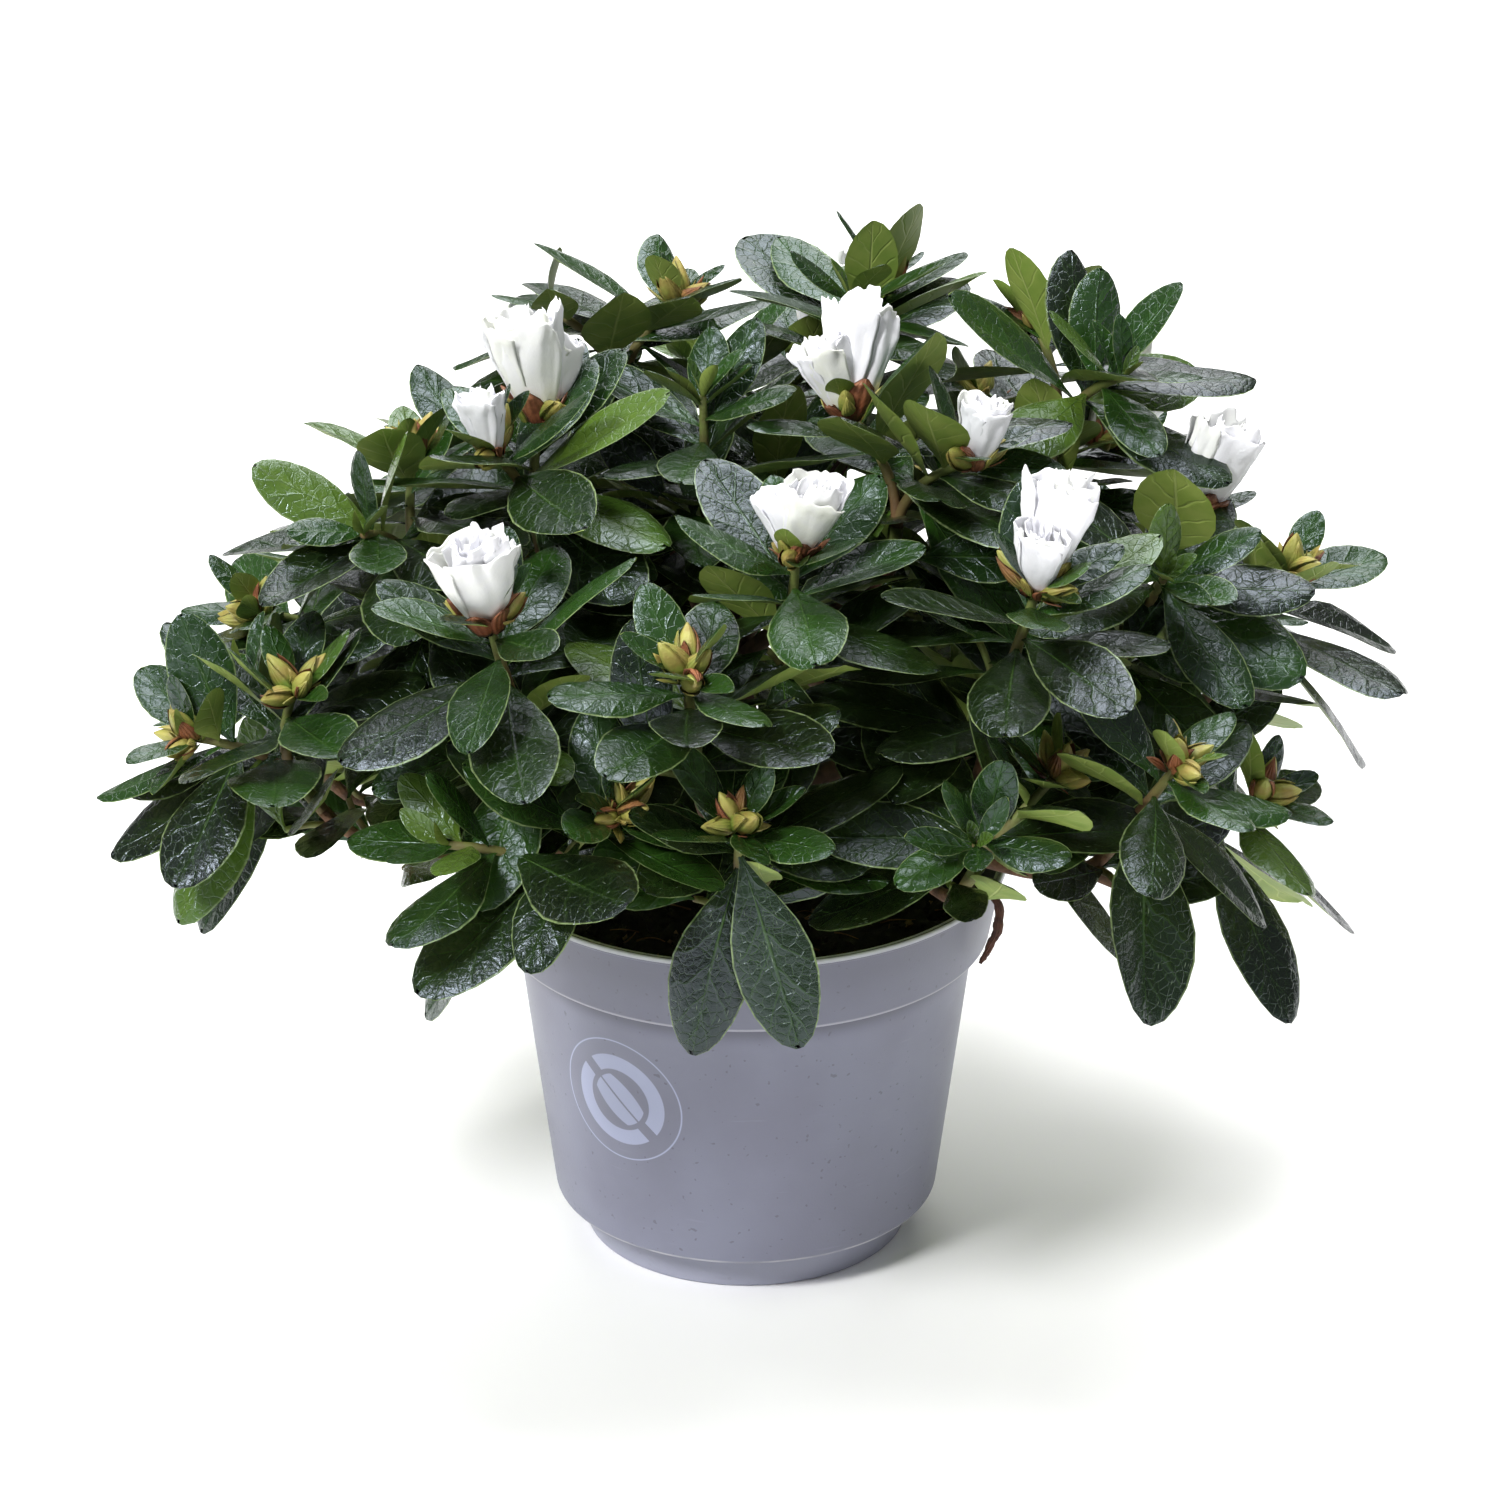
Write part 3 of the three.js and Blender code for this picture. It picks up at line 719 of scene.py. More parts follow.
# --- nodes and finishes
Value = float | int | str | tuple | NodeSocket


@dataclass
class Graph:
    """Adds and joins the nodes of one material or group."""

    tree: NodeTree

    def node(self, kind: str, inputs: dict[int | str, Value] | None = None, **settings: object
             ) -> Node:
        """Adds a node.

        Args:
            kind: the node's type, without the word ShaderNode.
            inputs: what each of its inputs takes: another node's output or a plain value.
            settings: the node's own settings.

        Returns:
            The new node.
        """
        made = self.tree.nodes.new(f"ShaderNode{kind}")
        for name, value in settings.items():
            setattr(made, name, value)
        for name, value in (inputs or {}).items():
            if isinstance(value, NodeSocket):
                self.tree.links.new(value, made.inputs[name])
            else:
                made.inputs[name].default_value = value
        return made

    def use(self, tree: NodeTree, **inputs: Value) -> NodeOutputs:
        """Adds a shader group and gives its outputs."""
        return self.node("Group", inputs, node_tree=tree).outputs

    def maths(self, operation: str, *values: Value, clamp: bool = False) -> NodeSocket:
        """Works out one number from others."""
        return self.node("Math", dict(enumerate(values)), operation=operation, use_clamp=clamp).outputs[0]

    def times(self, first: Value, *others: Value) -> NodeSocket:
        """Multiplies numbers."""
        for other in others:
            first = self.maths("MULTIPLY", first, other)
        return first

    def plus(self, a: Value, b: Value, clamp: bool = False) -> NodeSocket:
        """Adds two numbers, and holds the sum between 0 and 1 if asked."""
        return self.maths("ADD", a, b, clamp=clamp)

    def minus(self, a: Value, b: Value) -> NodeSocket:
        """Takes one number from another."""
        return self.maths("SUBTRACT", a, b)

    def blend(self, share: Value, a: Value, b: Value) -> NodeSocket:
        """Mixes two colours."""
        return self.node("Mix", {0: share, 6: a, 7: b}, data_type="RGBA").outputs[2]

    def span(self, value: Value, low: float, high: float, to_low: float = 0.0, to_high: float = 1.0
             ) -> NodeSocket:
        """Takes a number smoothly from one span to another, and holds it there."""
        return self.node("MapRange", {0: value, 1: low, 2: high, 3: to_low, 4: to_high},
                         interpolation_type="SMOOTHSTEP").outputs[0]

    def noise(self, place: Value, scale: float, detail: float = 2.0, rough: float = 0.5
              ) -> NodeSocket:
        """Gives noise from 0 to 1 at a place."""
        return self.node("TexNoise", {"Vector": place, "Scale": scale, "Detail": detail,
                                      "Roughness": rough}).outputs["Fac"]

    def place(self) -> NodeSocket:
        """Gives the object's own coordinates."""
        return self.node("TexCoord").outputs["Object"]

    def surface(self) -> NodeSocket:
        """Gives the place on the thing's own surface, from its map."""
        return self.node("UVMap", uv_map="surface").outputs[0]

    def tone(self) -> NodeSocket:
        """Gives the thing's own tone, from 0 to 1."""
        return self.node("Attribute", attribute_name="tone").outputs["Fac"]

    def shade(self, **inputs: Value) -> None:
        """Ends a material with its shader.

        Args:
            inputs: what each of the shader's sockets takes, with underscores for spaces in their names.
        """
        sockets = {name.replace("_", " "): value for name, value in inputs.items()}
        self.node("OutputMaterial", {0: self.node("BsdfPrincipled", sockets).outputs[0]})


def colour(r: int, g: int, b: int) -> tuple[float, float, float, float]:
    """Turns a colour as seen, 0 to 255, to linear light: ((c + 0.055) / 1.055) to the power 2.4."""
    line = [c / 255 / 12.92 if c <= 10 else ((c / 255 + 0.055) / 1.055) ** 2.4 for c in (r, g, b)]
    return (*line, 1.0)


def group(name: str, takes: str, gives: str,
          build: Callable[[Graph, Node], dict[str, NodeSocket]]
          ) -> NodeTree:
    """Makes a shader node group.

    Args:
        name: the group's name.
        takes: its inputs' names, each with its kind after a colon where it isn't a number.
        gives: its outputs' names, in the same way.
        build: lays its nodes and returns what each output gives.

    Returns:
        The group.
    """
    tree = bpy.data.node_groups.new(name, "ShaderNodeTree")
    for direction, sockets in (("INPUT", takes), ("OUTPUT", gives)):
        for title, _, kind in (socket.partition(":") for socket in sockets.split()):
            tree.interface.new_socket(title, in_out=direction, socket_type=f"NodeSocket{kind or 'Float'}")
    start = tree.nodes.new("NodeGroupInput")
    end = tree.nodes.new("NodeGroupOutput")
    for title, socket in build(Graph(tree), start).items():
        tree.links.new(socket, end.inputs[title])
    return tree


def vein_nodes(g: Graph, start: Node) -> dict[str, NodeSocket]:
    """Draws a leaf's veins: s is the distance from the midrib, 0 to 1, and side veins are where
    pairs (u - 0.3 s + 0.08 s s), swayed by noise, is a whole number.

    Args:
        g: the group's graph.
        start: the node that gives the group's inputs.

    Returns:
        What each output gives.
    """
    split = g.node("SeparateXYZ", {0: start.outputs["Surface"]})
    u, v = split.outputs[0], split.outputs[1]
    s = g.times(g.maths("ABSOLUTE", g.minus(v, 0.5)), 2)
    sway = g.noise(start.outputs["Place"], 160.0, 1.0)
    side = g.times(g.maths("GREATER_THAN", v, 0.5), 0.5)
    run = g.plus(g.minus(u, g.times(s, 0.3)), g.times(s, s, 0.08))
    phase = g.plus(g.maths("MULTIPLY_ADD", run, start.outputs["Pairs"], side), g.times(sway, 0.5))
    apart = g.maths("PINGPONG", phase, 0.5)
    veins = g.times(g.minus(1, g.span(apart, 0.0, 0.1)), g.span(s, 0.75, 0.98, 1, 0))
    return {"Rib": g.span(s, 0.01, 0.06, 1, 0), "Veins": veins, "Quilt": g.span(apart, 0.02, 0.42),
            "Edge": g.span(s, 0.94, 0.98), "Along": u, "Across": s}


def net_nodes(g: Graph, start: Node) -> dict[str, NodeSocket]:
    """Gives the fine net between veins, from the distance to the edges of scattered cells; flecks, the
    middles of long narrow cells; and a fine grain.

    Args:
        g: the group's graph.
        start: the node that gives the group's inputs.

    Returns:
        What each output gives.
    """
    place = start.outputs["Place"]
    bent = g.node("VectorMath", {0: g.node("TexNoise", {"Vector": place, "Scale": 300.0}).outputs["Color"],
                                 1: (0.0014,) * 3}, operation="MULTIPLY").outputs[0]
    moved = g.node("VectorMath", {0: place, 1: bent}, operation="ADD").outputs[0]
    cells = g.node("TexVoronoi", {"Vector": moved, "Scale": start.outputs["Scale"]},
                   feature="DISTANCE_TO_EDGE").outputs["Distance"]
    long = g.node("Mapping", {"Vector": start.outputs["Surface"], "Scale": (9.0, 26.0, 1.0)}).outputs[0]
    apart = g.node("TexVoronoi", {"Vector": long, "Scale": 1.0}, feature="F1").outputs["Distance"]
    flecks = g.times(g.span(apart, 0.08, 0.16, 1, 0), g.span(g.noise(place, 240.0), 0.45, 0.58))
    return {"Net": g.span(cells, 0.0, 0.06, 1, 0), "Swell": g.span(cells, 0.0, 0.5),
            "Flecks": flecks, "Grain": g.noise(place, 1500.0, 3.0, 0.65)}


def mottle_nodes(g: Graph, start: Node) -> dict[str, NodeSocket]:
    """Varies a colour towards another by soft noise of a given scale."""
    noise = g.noise(start.outputs["Place"], start.outputs["Scale"], 3.0)
    share = g.times(g.span(noise, 0.35, 0.68), start.outputs["Share"])
    return {"Colour": g.blend(share, start.outputs["Main"], start.outputs["Other"]), "Noise": noise}


class Effects:
    """The shader groups that several finishes use, each built once."""

    def __init__(self) -> None:
        """Builds the groups."""
        self.veins = group("leaf_veins", "Surface:Vector Place:Vector Pairs",
                           "Rib Veins Quilt Edge Along Across", vein_nodes)
        self.net = group("fine_net", "Surface:Vector Place:Vector Scale", "Net Swell Flecks Grain",
                         net_nodes)
        self.mottle = group("mottle", "Place:Vector Scale Share Main:Color Other:Color",
                            "Colour:Color Noise", mottle_nodes)


def new_material(name: str) -> tuple[Material, Graph]:
    """Makes an empty material.

    Args:
        name: the material's name.

    Returns:
        The material and its graph.
    """
    material = bpy.data.materials.new(name)
    material.use_nodes = True
    material.node_tree.nodes.clear()
    return material, Graph(material.node_tree)


@dataclass(frozen=True)
class LeafFinish:
    """The upper side of a leaf: dark green, glossy, with sunk veins and a paler edge."""

    name: str
    deep: tuple = colour(12, 20, 9)
    fresh: tuple = colour(33, 58, 18)
    rib: tuple = colour(70, 100, 44)
    edge: tuple = colour(122, 140, 92)
    fleck: tuple = colour(150, 164, 140)
    sheen: tuple = colour(226, 238, 255)
    flecks: float = 0.38
    gloss: float = 0.6
    roughness: float = 0.21
    depth: float = 0.66

    def material(self, effects: Effects) -> Material:
        """Builds the leaf's material: colour by tone, greener at the foot, and relief from its veins.

        Args:
            effects: the shared shader groups.

        Returns:
            The material.
        """
        material, g = new_material(self.name)
        place = g.place()
        v = g.use(effects.veins, Surface=g.surface(), Place=place, Pairs=VEIN_PAIRS)
        n = g.use(effects.net, Surface=g.surface(), Place=place, Scale=400.0)
        greener = g.maths("MAXIMUM", g.span(v["Along"], 0.0, 0.42, 0.85, 0.0),
                          g.span(v["Across"], 0.0, 0.35, 0.25, 0.0))
        greener = g.times(greener, g.span(g.noise(place, 90.0), 0.3, 0.7, 0.4, 1.0))
        greener = g.plus(greener, g.times(g.tone(), 0.4), clamp=True)
        lines = g.maths("MAXIMUM", n["Net"], v["Veins"])
        marks = (
            (g.times(lines, 0.15, g.span(v["Across"], 0.9, 1.0, 1, 0)), self.rib),
            (g.times(v["Rib"], g.span(v["Along"], 0.1, 0.8, 0.7, 0.1)), self.rib),
            (g.times(v["Edge"], g.span(g.noise(place, 700.0), 0.35, 0.6, 0.45, 0.9)), self.edge),
            (g.times(n["Flecks"], self.flecks), self.fleck),
        )
        base = g.blend(greener, self.deep, self.fresh)
        for mask, paint in marks:
            base = g.blend(mask, base, paint)
        height = 0.0
        for output, share in ((v["Quilt"], 0.26), (n["Swell"], 0.16),
                              (v["Rib"], -0.6), (v["Veins"], -0.26),
                              (n["Net"], -0.2), (n["Grain"], 0.4)):
            height = g.maths("MULTIPLY_ADD", output, share, height)
        bump = g.node("Bump", {"Height": height, "Strength": self.depth, "Distance": 0.0006})
        rough = g.plus(g.times(n["Grain"], 0.2), self.roughness - 0.1)
        g.shade(Base_Color=base, Roughness=rough, Normal=bump.outputs[0], Specular_IOR_Level=self.gloss,
                Specular_Tint=self.sheen)
        return material


@dataclass(frozen=True)
class LeafBackFinish:
    """The underside of a leaf: matt olive with raised, paler veins; its olive is partly the underside's own
    colour and partly painted light, lightened to stand in for light shining through the leaf.
    """

    name: str
    # partly the underside's own pale olive, partly painted light: lightened to stand in for light shining
    # through the leaf
    main: tuple = colour(118, 142, 60)
    other: tuple = colour(140, 156, 76)
    rib: tuple = colour(176, 188, 112)
    roughness: float = 0.5

    def material(self, effects: Effects) -> Material:
        """Builds the underside's material: mottled, with its veins paler and raised.

        Args:
            effects: the shared shader groups.

        Returns:
            The material.
        """
        material, g = new_material(self.name)
        place = g.place()
        v = g.use(effects.veins, Surface=g.surface(), Place=place, Pairs=VEIN_PAIRS)
        m = g.use(effects.mottle, Scale=160.0, Share=0.8, Main=self.main, Other=self.other, Place=place)
        raised = g.maths("MAXIMUM", v["Rib"], g.times(v["Veins"], 0.5))
        base = g.blend(g.times(raised, 0.6), m["Colour"], self.rib)
        bump = g.node("Bump", {"Height": raised, "Strength": 0.5, "Distance": 0.0005})
        g.shade(Base_Color=base, Roughness=self.roughness, Normal=bump.outputs[0])
        return material


@dataclass(frozen=True)
class GrownFinish:
    """A finish for petals, buds, scales and bark: two colours along the surface, mottled, with grain."""

    name: str
    foot: tuple
    top: tuple
    other: tuple
    mottling: float = 0.7
    scale: float = 300.0
    roughness: float = 0.5
    grain: float = 1300.0
    depth: float = 0.6
    stripes: float = 0.0
    turn_over: float = 0.5

    def material(self, effects: Effects) -> Material:
        """Builds the finish: foot to top along the surface, mottled with the other colour, and a fine
        grain, or stripes along the surface, as relief.

        Args:
            effects: the shared shader groups.

        Returns:
            The material.
        """
        material, g = new_material(self.name)
        place = g.place()
        split = g.node("SeparateXYZ", {0: g.surface()})
        share = g.span(split.outputs[0], self.turn_over - 0.4, self.turn_over + 0.4)
        share = g.plus(share, g.times(g.minus(g.tone(), 0.5), 0.7), clamp=True)
        main = g.blend(share, self.foot, self.top)
        m = g.use(effects.mottle, Scale=self.scale, Share=self.mottling, Main=main, Other=self.other,
                  Place=place)
        fine = g.noise(place, self.grain, 3.0, 0.6)
        if self.stripes:
            wave = g.maths("SINE", g.times(split.outputs[1], self.stripes))
            fine = g.plus(fine, g.times(wave, 0.35))
        bump = g.node("Bump", {"Height": fine, "Strength": self.depth, "Distance": 0.0004})
        rough = g.plus(g.times(m["Noise"], 0.15), self.roughness - 0.07)
        g.shade(Base_Color=m["Colour"], Roughness=rough, Normal=bump.outputs[0])
        return material


# --- leaves
class LeafKind(IntEnum):
    """A leaf's or an underside's finish, by its place among a leaf piece's materials."""

    DARK = 0
    GREEN = 1
    YOUNG = 2
    BACK = 3
    YOUNG_BACK = 4


@dataclass
class Blade:
    """One leaf as it stands: its frame, its size in millimetres, and how its blade bends."""

    root: Array
    along: Array
    above: Array
    length: float
    width: float
    arch: float
    cup: float
    twist: float
    sweep: float
    wave: float
    phase: float
    finish: LeafKind
    tone: float


@dataclass
class Leaves:
    """All leaves: posed shoot by shoot by the source's rule, so that none crosses another."""

    plant: Plant
    boughs: BVHTree
    rows: Array = field(default_factory=lambda: np.array(
        [0, 0.07, 0.16, 0.28, 0.41, 0.54, 0.67, 0.79, 0.89, 0.96, 1.0]))
    columns: Array = field(default_factory=lambda: np.array([-1.0, -0.55, 0.0, 0.55, 1.0]))
    petiole: float = 0.9
    thickness: float = 0.42
    left_out: tuple = ((19, 0, 1), (19, 1, 2), (0, 0, 0), (4, 0, 3), (4, 1, 1), (4, 0, 6), (4, 0, 1),
                       (104, 3))
    hung: tuple = (((0, 0, 2), (-13.8, -10.0, -46.0)), ((0, 0, 5), (15.2, -10.0, -47.0)))
    hung_width: float = 0.385
    hem_height: float = 116.0
    hem_rise: float = 20.0
    hem_reach: float = 60.0
    blades: dict[str, list[Blade]] = field(default_factory=dict)
    placed: list[tuple[Array, Array, BVHTree]] = field(default_factory=list)

    def outline(self, u: Array) -> Array:
        """Gives the half width, 0 to 1, at u along the leaf: sin(pi u^1.32) to a power that falls from
        1.05 at the wedge-shaped foot to 0.5 at the round tip, which keeps a little width."""
        wide = np.sin(np.pi * np.clip(u, 0, 1) ** 1.32) ** (1.05 - 0.55 * u)
        return np.maximum(wide, 0.1 * np.clip(u * 9, 0, 1))

    def sheets(self, blades: Sequence[Blade]) -> Array:
        """Works out the middle surfaces of leaves.

        With u along, s across, length L and half width h(u), a leaf is
        x = L u (1 - 0.35 |arch|), y = h s, and
        z = 4 arch L u^1.15 (1 - u) + cup h s^2 + wave h s^2 sin(7 u + phase) - 0.3 h (1 - |s|)^2,
        whose last part, the groove over the midrib, fades out at both ends. It is twisted about x by
        twist u and swept sideways by sweep L u^2.

        Args:
            blades: the leaves.

        Returns:
            (leaves, rows, columns, 3) points in metres.
        """
        get = lambda name: np.array([getattr(b, name) for b in blades])[:, None, None]
        u, s = self.rows[None, :, None], self.columns[None, None, :]
        length, width = get("length"), get("width")
        half = np.maximum(0.5 * width * self.outline(u), 0.5 * self.petiole * (u < 0.3))
        x = length * u * (1 - 0.35 * np.abs(get("arch")))
        y = half * s
        z = 4 * get("arch") * length * u**1.15 * (1 - u)
        z = z + get("cup") * half * s**2 + get("wave") * half * s**2 * np.sin(7 * u + get("phase"))
        groove = np.clip(u / 0.16, 0, 1) * np.clip((1 - u) / 0.16, 0, 1)
        z = z - 0.3 * half * (1 - np.abs(s)) ** 2 * groove
        angle = get("twist") * u
        y, z = y * np.cos(angle) - z * np.sin(angle), z * np.cos(angle) + y * np.sin(angle)
        y = y + get("sweep") * length * u**2
        along = unit(get("along"))
        left = unit(np.cross(get("above"), along))
        return (get("root") + x[..., None] * along + y[..., None] * left
                + z[..., None] * np.cross(along, left)) * MM

    def pose(self, shoot: Shoot, number: int, attempt: Attempt) -> Blade:
        """Poses a leaf by the source's rule: turned from the last by the rule's angle, the outer ones
        level and drooping and the inner ones shorter and upright.

        Args:
            shoot: the leaf's shoot.
            number: its number, from 0 for the outermost.
            attempt: how this try differs from the rule.

        Returns:
            The leaf.
        """
        rule, keys = self.plant.rule, (shoot.mass, shoot.number, number)
        rise = number / max(1, rule.per_shoot - 1)
        root = shoot.at(shoot.foot_share(number))
        around = rule.turn * number + 360 * chance(*keys[:2], 7) + rule.turn_sway * swing(*keys, 1)
        side = turned(shoot.across(), shoot.axis, around + attempt.turn)
        tilt = lerp(rule.outer_tilt, rule.inner_tilt, rise**1.5)
        tilt = tilt + rule.tilt_sway * swing(*keys, 2) - attempt.rise
        along = shoot.axis * math.cos(math.radians(tilt)) + side * math.sin(math.radians(tilt))
        along = unit(along - UP * rule.droop * (1 - rise) * (0.6 + 0.8 * chance(*keys, 3)))
        above = turned(shoot.axis * 0.6 + UP * 0.7, along, rule.roll_sway * swing(*keys, 4))
        full = lerp(rule.outer_length, rule.inner_length, rise**1.7) * shoot.scale
        length = full * (1 + rule.size_sway * swing(*keys, 5)) * attempt.size
        width = length * rule.width * (1 + rule.size_sway * swing(*keys, 6))
        line = dict(self.hung).get(keys)
        if line:
            length = float(np.linalg.norm(line)) * attempt.size
            along, above, width = unit(np.array(line)), UP * 0.25 - FRONT_TO_BACK, length * self.hung_width
        finish = LeafKind.GREEN if number >= 6 or chance(*keys, 21) > 0.82 else LeafKind.DARK
        if chance(*keys, 22) > (0.95 if shoot.low or number < 8 else 0.86):
            finish = LeafKind.YOUNG
        return Blade(root - along * 0.55, along, above, length, width,
                     arch=0.05 + 0.05 * chance(*keys, 12), cup=-0.24 + 0.22 * swing(*keys, 13),
                     twist=0.3 * swing(*keys, 14), sweep=0.09 * swing(*keys, 15),
                     wave=0.10 * chance(*keys, 16), phase=6 * chance(*keys, 17),
                     finish=finish, tone=chance(*keys, 18))

    def young(self, shoot: Shoot, number: int) -> Blade:
        """Poses one of the small upright leaves round a shoot's tip.

        Args:
            shoot: the leaf's shoot.
            number: its number, from 0 for the innermost and shortest.

        Returns:
            The leaf.
        """
        keys = (shoot.mass, shoot.number, 60 + number)
        side = turned(shoot.across(), shoot.axis, GOLDEN_TURN * number + 360 * chance(*keys[:2], 8))
        tilt = math.radians(16 + 10 * number + 7 * swing(*keys, 1))
        along = unit(shoot.axis * math.cos(tilt) + side * math.sin(tilt))
        above = unit(shoot.axis - along * np.dot(shoot.axis, along) - 0.4 * side)
        length = 9 + 2.2 * number + 2 * swing(*keys, 2)
        root = shoot.at(1) - shoot.axis * (0.6 + 0.5 * number)
        return Blade(root, along, above, length, length * 0.36, arch=0.05, cup=0.25,
                     twist=0.3 * swing(*keys, 3), sweep=0.1 * swing(*keys, 4), wave=0.1,
                     phase=6 * chance(*keys, 5), finish=LeafKind.YOUNG if number < 3 else LeafKind.GREEN,
                     tone=chance(*keys, 6))

    def hem(self, point: Array) -> float:
        """Gives the height below which no inner leaf hangs: in front, higher by rise exp(-(x / reach)^2)."""
        rise = self.hem_rise if point[1] < 10 else 0
        return self.hem_height + rise * math.exp(-((point[0] / self.hem_reach) ** 2))

    def place(self, blade: Blade, family: str, near_wood: bool = True, margin: float = 0.0004) -> bool:
        """Tries a leaf among those already placed, by its own mesh without its foot, and keeps it if it
        crosses none.

        Args:
            blade: the leaf.
            family: the family of its shoot.
            near_wood: whether it could also cross a bough.
            margin: how far leaves' boxes are apart before their meshes needn't be tried, in metres.

        Returns:
            Whether it was kept.
        """
        outer = self.sheets([blade])[0][2:]
        corners = outer.reshape(-1, 3)
        tree = BVHTree.FromPolygons(corners.tolist(), grid_faces(*outer.shape[:2]).tolist())
        low, high = corners.min(0) - margin, corners.max(0) + margin
        if near_wood and self.boughs.overlap(tree) or any(
                (low < other_high).all() and (other_low < high).all() and other.overlap(tree)
                for other_low, other_high, other in self.placed):
            return False
        self.placed.append((low, high, tree))
        self.blades.setdefault(family, []).append(blade)
        return True

    def grow(self) -> int:
        """Places the leaves whorl by whorl over the whole plant: the source's shoots first, then the
        young leaves at their tips, then the finer shoots.

        Returns:
            How many leaves were placed.
        """
        upper = [shoot for shoot in self.plant.shoots if not shoot.low]
        self.whorls(upper)
        for shoot in upper:
            first = 0 if shoot.tip is Tip.LEAVES else 3
            for number in range(first, first + {Tip.LEAVES: 5, Tip.BUDS: 3}.get(shoot.tip, 2)):
                self.place(self.young(shoot, number), shoot.family, near_wood=False)
        self.whorls([shoot for shoot in self.plant.shoots if shoot.low])
        return sum(map(len, self.blades.values()))

    def whorls(self, shoots: Sequence[Shoot]) -> None:
        """Places the outermost leaf of every shoot, then the next one of every shoot, and so on. Each
        leaf takes the first try in which it crosses nothing.

        Args:
            shoots: the shoots, all of one kind.
        """
        for number, shoot in ((n, shoot) for n in range(self.plant.rule.per_shoot) for shoot in shoots):
            keys = (shoot.mass, shoot.number, number)
            if number >= shoot.leaves or keys in self.left_out or keys[:2] in self.left_out:
                continue
            for attempt in TRIES:
                blade = self.pose(shoot, number, attempt)
                if self.in_place(blade, shoot) and self.place(blade, shoot.family):
                    shoot.limb.reach = max(shoot.limb.reach, shoot.foot_share(number))
                    break

    def in_place(self, blade: Blade, shoot: Shoot) -> bool:
        """Tells whether a leaf's tip stays above the hem, for a finer shoot, or else short of the
        half-way line to the next mass's shoots.

        Args:
            blade: the leaf.
            shoot: its shoot.

        Returns:
            Whether it does.
        """
        point = blade.root + blade.along * blade.length
        if shoot.low:
            return point[2] >= self.hem(point)
        mass = self.plant.masses[shoot.mass]
        own = min(np.linalg.norm(tip - point) for tip in mass.tips)
        return all(np.linalg.norm(tip - point) > own - self.plant.rule.overhang
                   for other in self.plant.masses if other is not mass for tip in other.tips)

    def piece(self, family: str, finishes: Sequence[Material]) -> Object:
        """Makes one family's leaves into a piece, with a cell of the bake map for each leaf's side.

        Args:
            family: the family's name.
            finishes: the materials, in the order of LeafKind.

        Returns:
            The piece.
        """
        blades = self.blades[family]
        count = len(blades)
        thick = self.thickness * MM * (1.5 - 0.8 * self.rows[:, None])
        corners, faces, places, side = closed_sheets(self.sheets(blades), thick, under=(0, 2, 4))
        rows, across = (np.interp(places[..., i], np.linspace(0, 1, len(marks)), marks)
                        for i, marks in enumerate((self.rows, 0.5 + 0.5 * self.columns)))
        top = np.repeat([b.finish for b in blades], len(faces) // count)
        back = np.where(top == LeafKind.YOUNG, LeafKind.YOUNG_BACK, LeafKind.BACK)
        shape = Shape()
        shape.add(corners, faces, np.stack([rows, across], -1), atlas_cells(places, side, count),
                  np.where(side == 0, top, back),
                  np.repeat([b.tone for b in blades], len(corners) // count))
        made = shape.piece(f"leaves_{family}", finishes)
        part_sides(made.data)
        return made


def part_sides(mesh: Mesh) -> None:
    """Keeps the shading of two sides apart along the rim that they share, where their finishes meet.

    Args:
        mesh: the mesh, whose sides have different materials.
    """
    read = {}
    for name, items in (("edge_index", mesh.loops), ("loop_total", mesh.polygons),
                        ("material_index", mesh.polygons)):
        read[name] = np.zeros(len(items), np.int64)
        items.foreach_get(name, read[name])
    kind = np.repeat(read["material_index"], read["loop_total"])
    least, most = np.full(len(mesh.edges), 99), np.full(len(mesh.edges), -1)
    np.minimum.at(least, read["edge_index"], kind)
    np.maximum.at(most, read["edge_index"], kind)
    mesh.attributes.new("sharp_edge", "BOOLEAN", "EDGE").data.foreach_set("value", least != most)


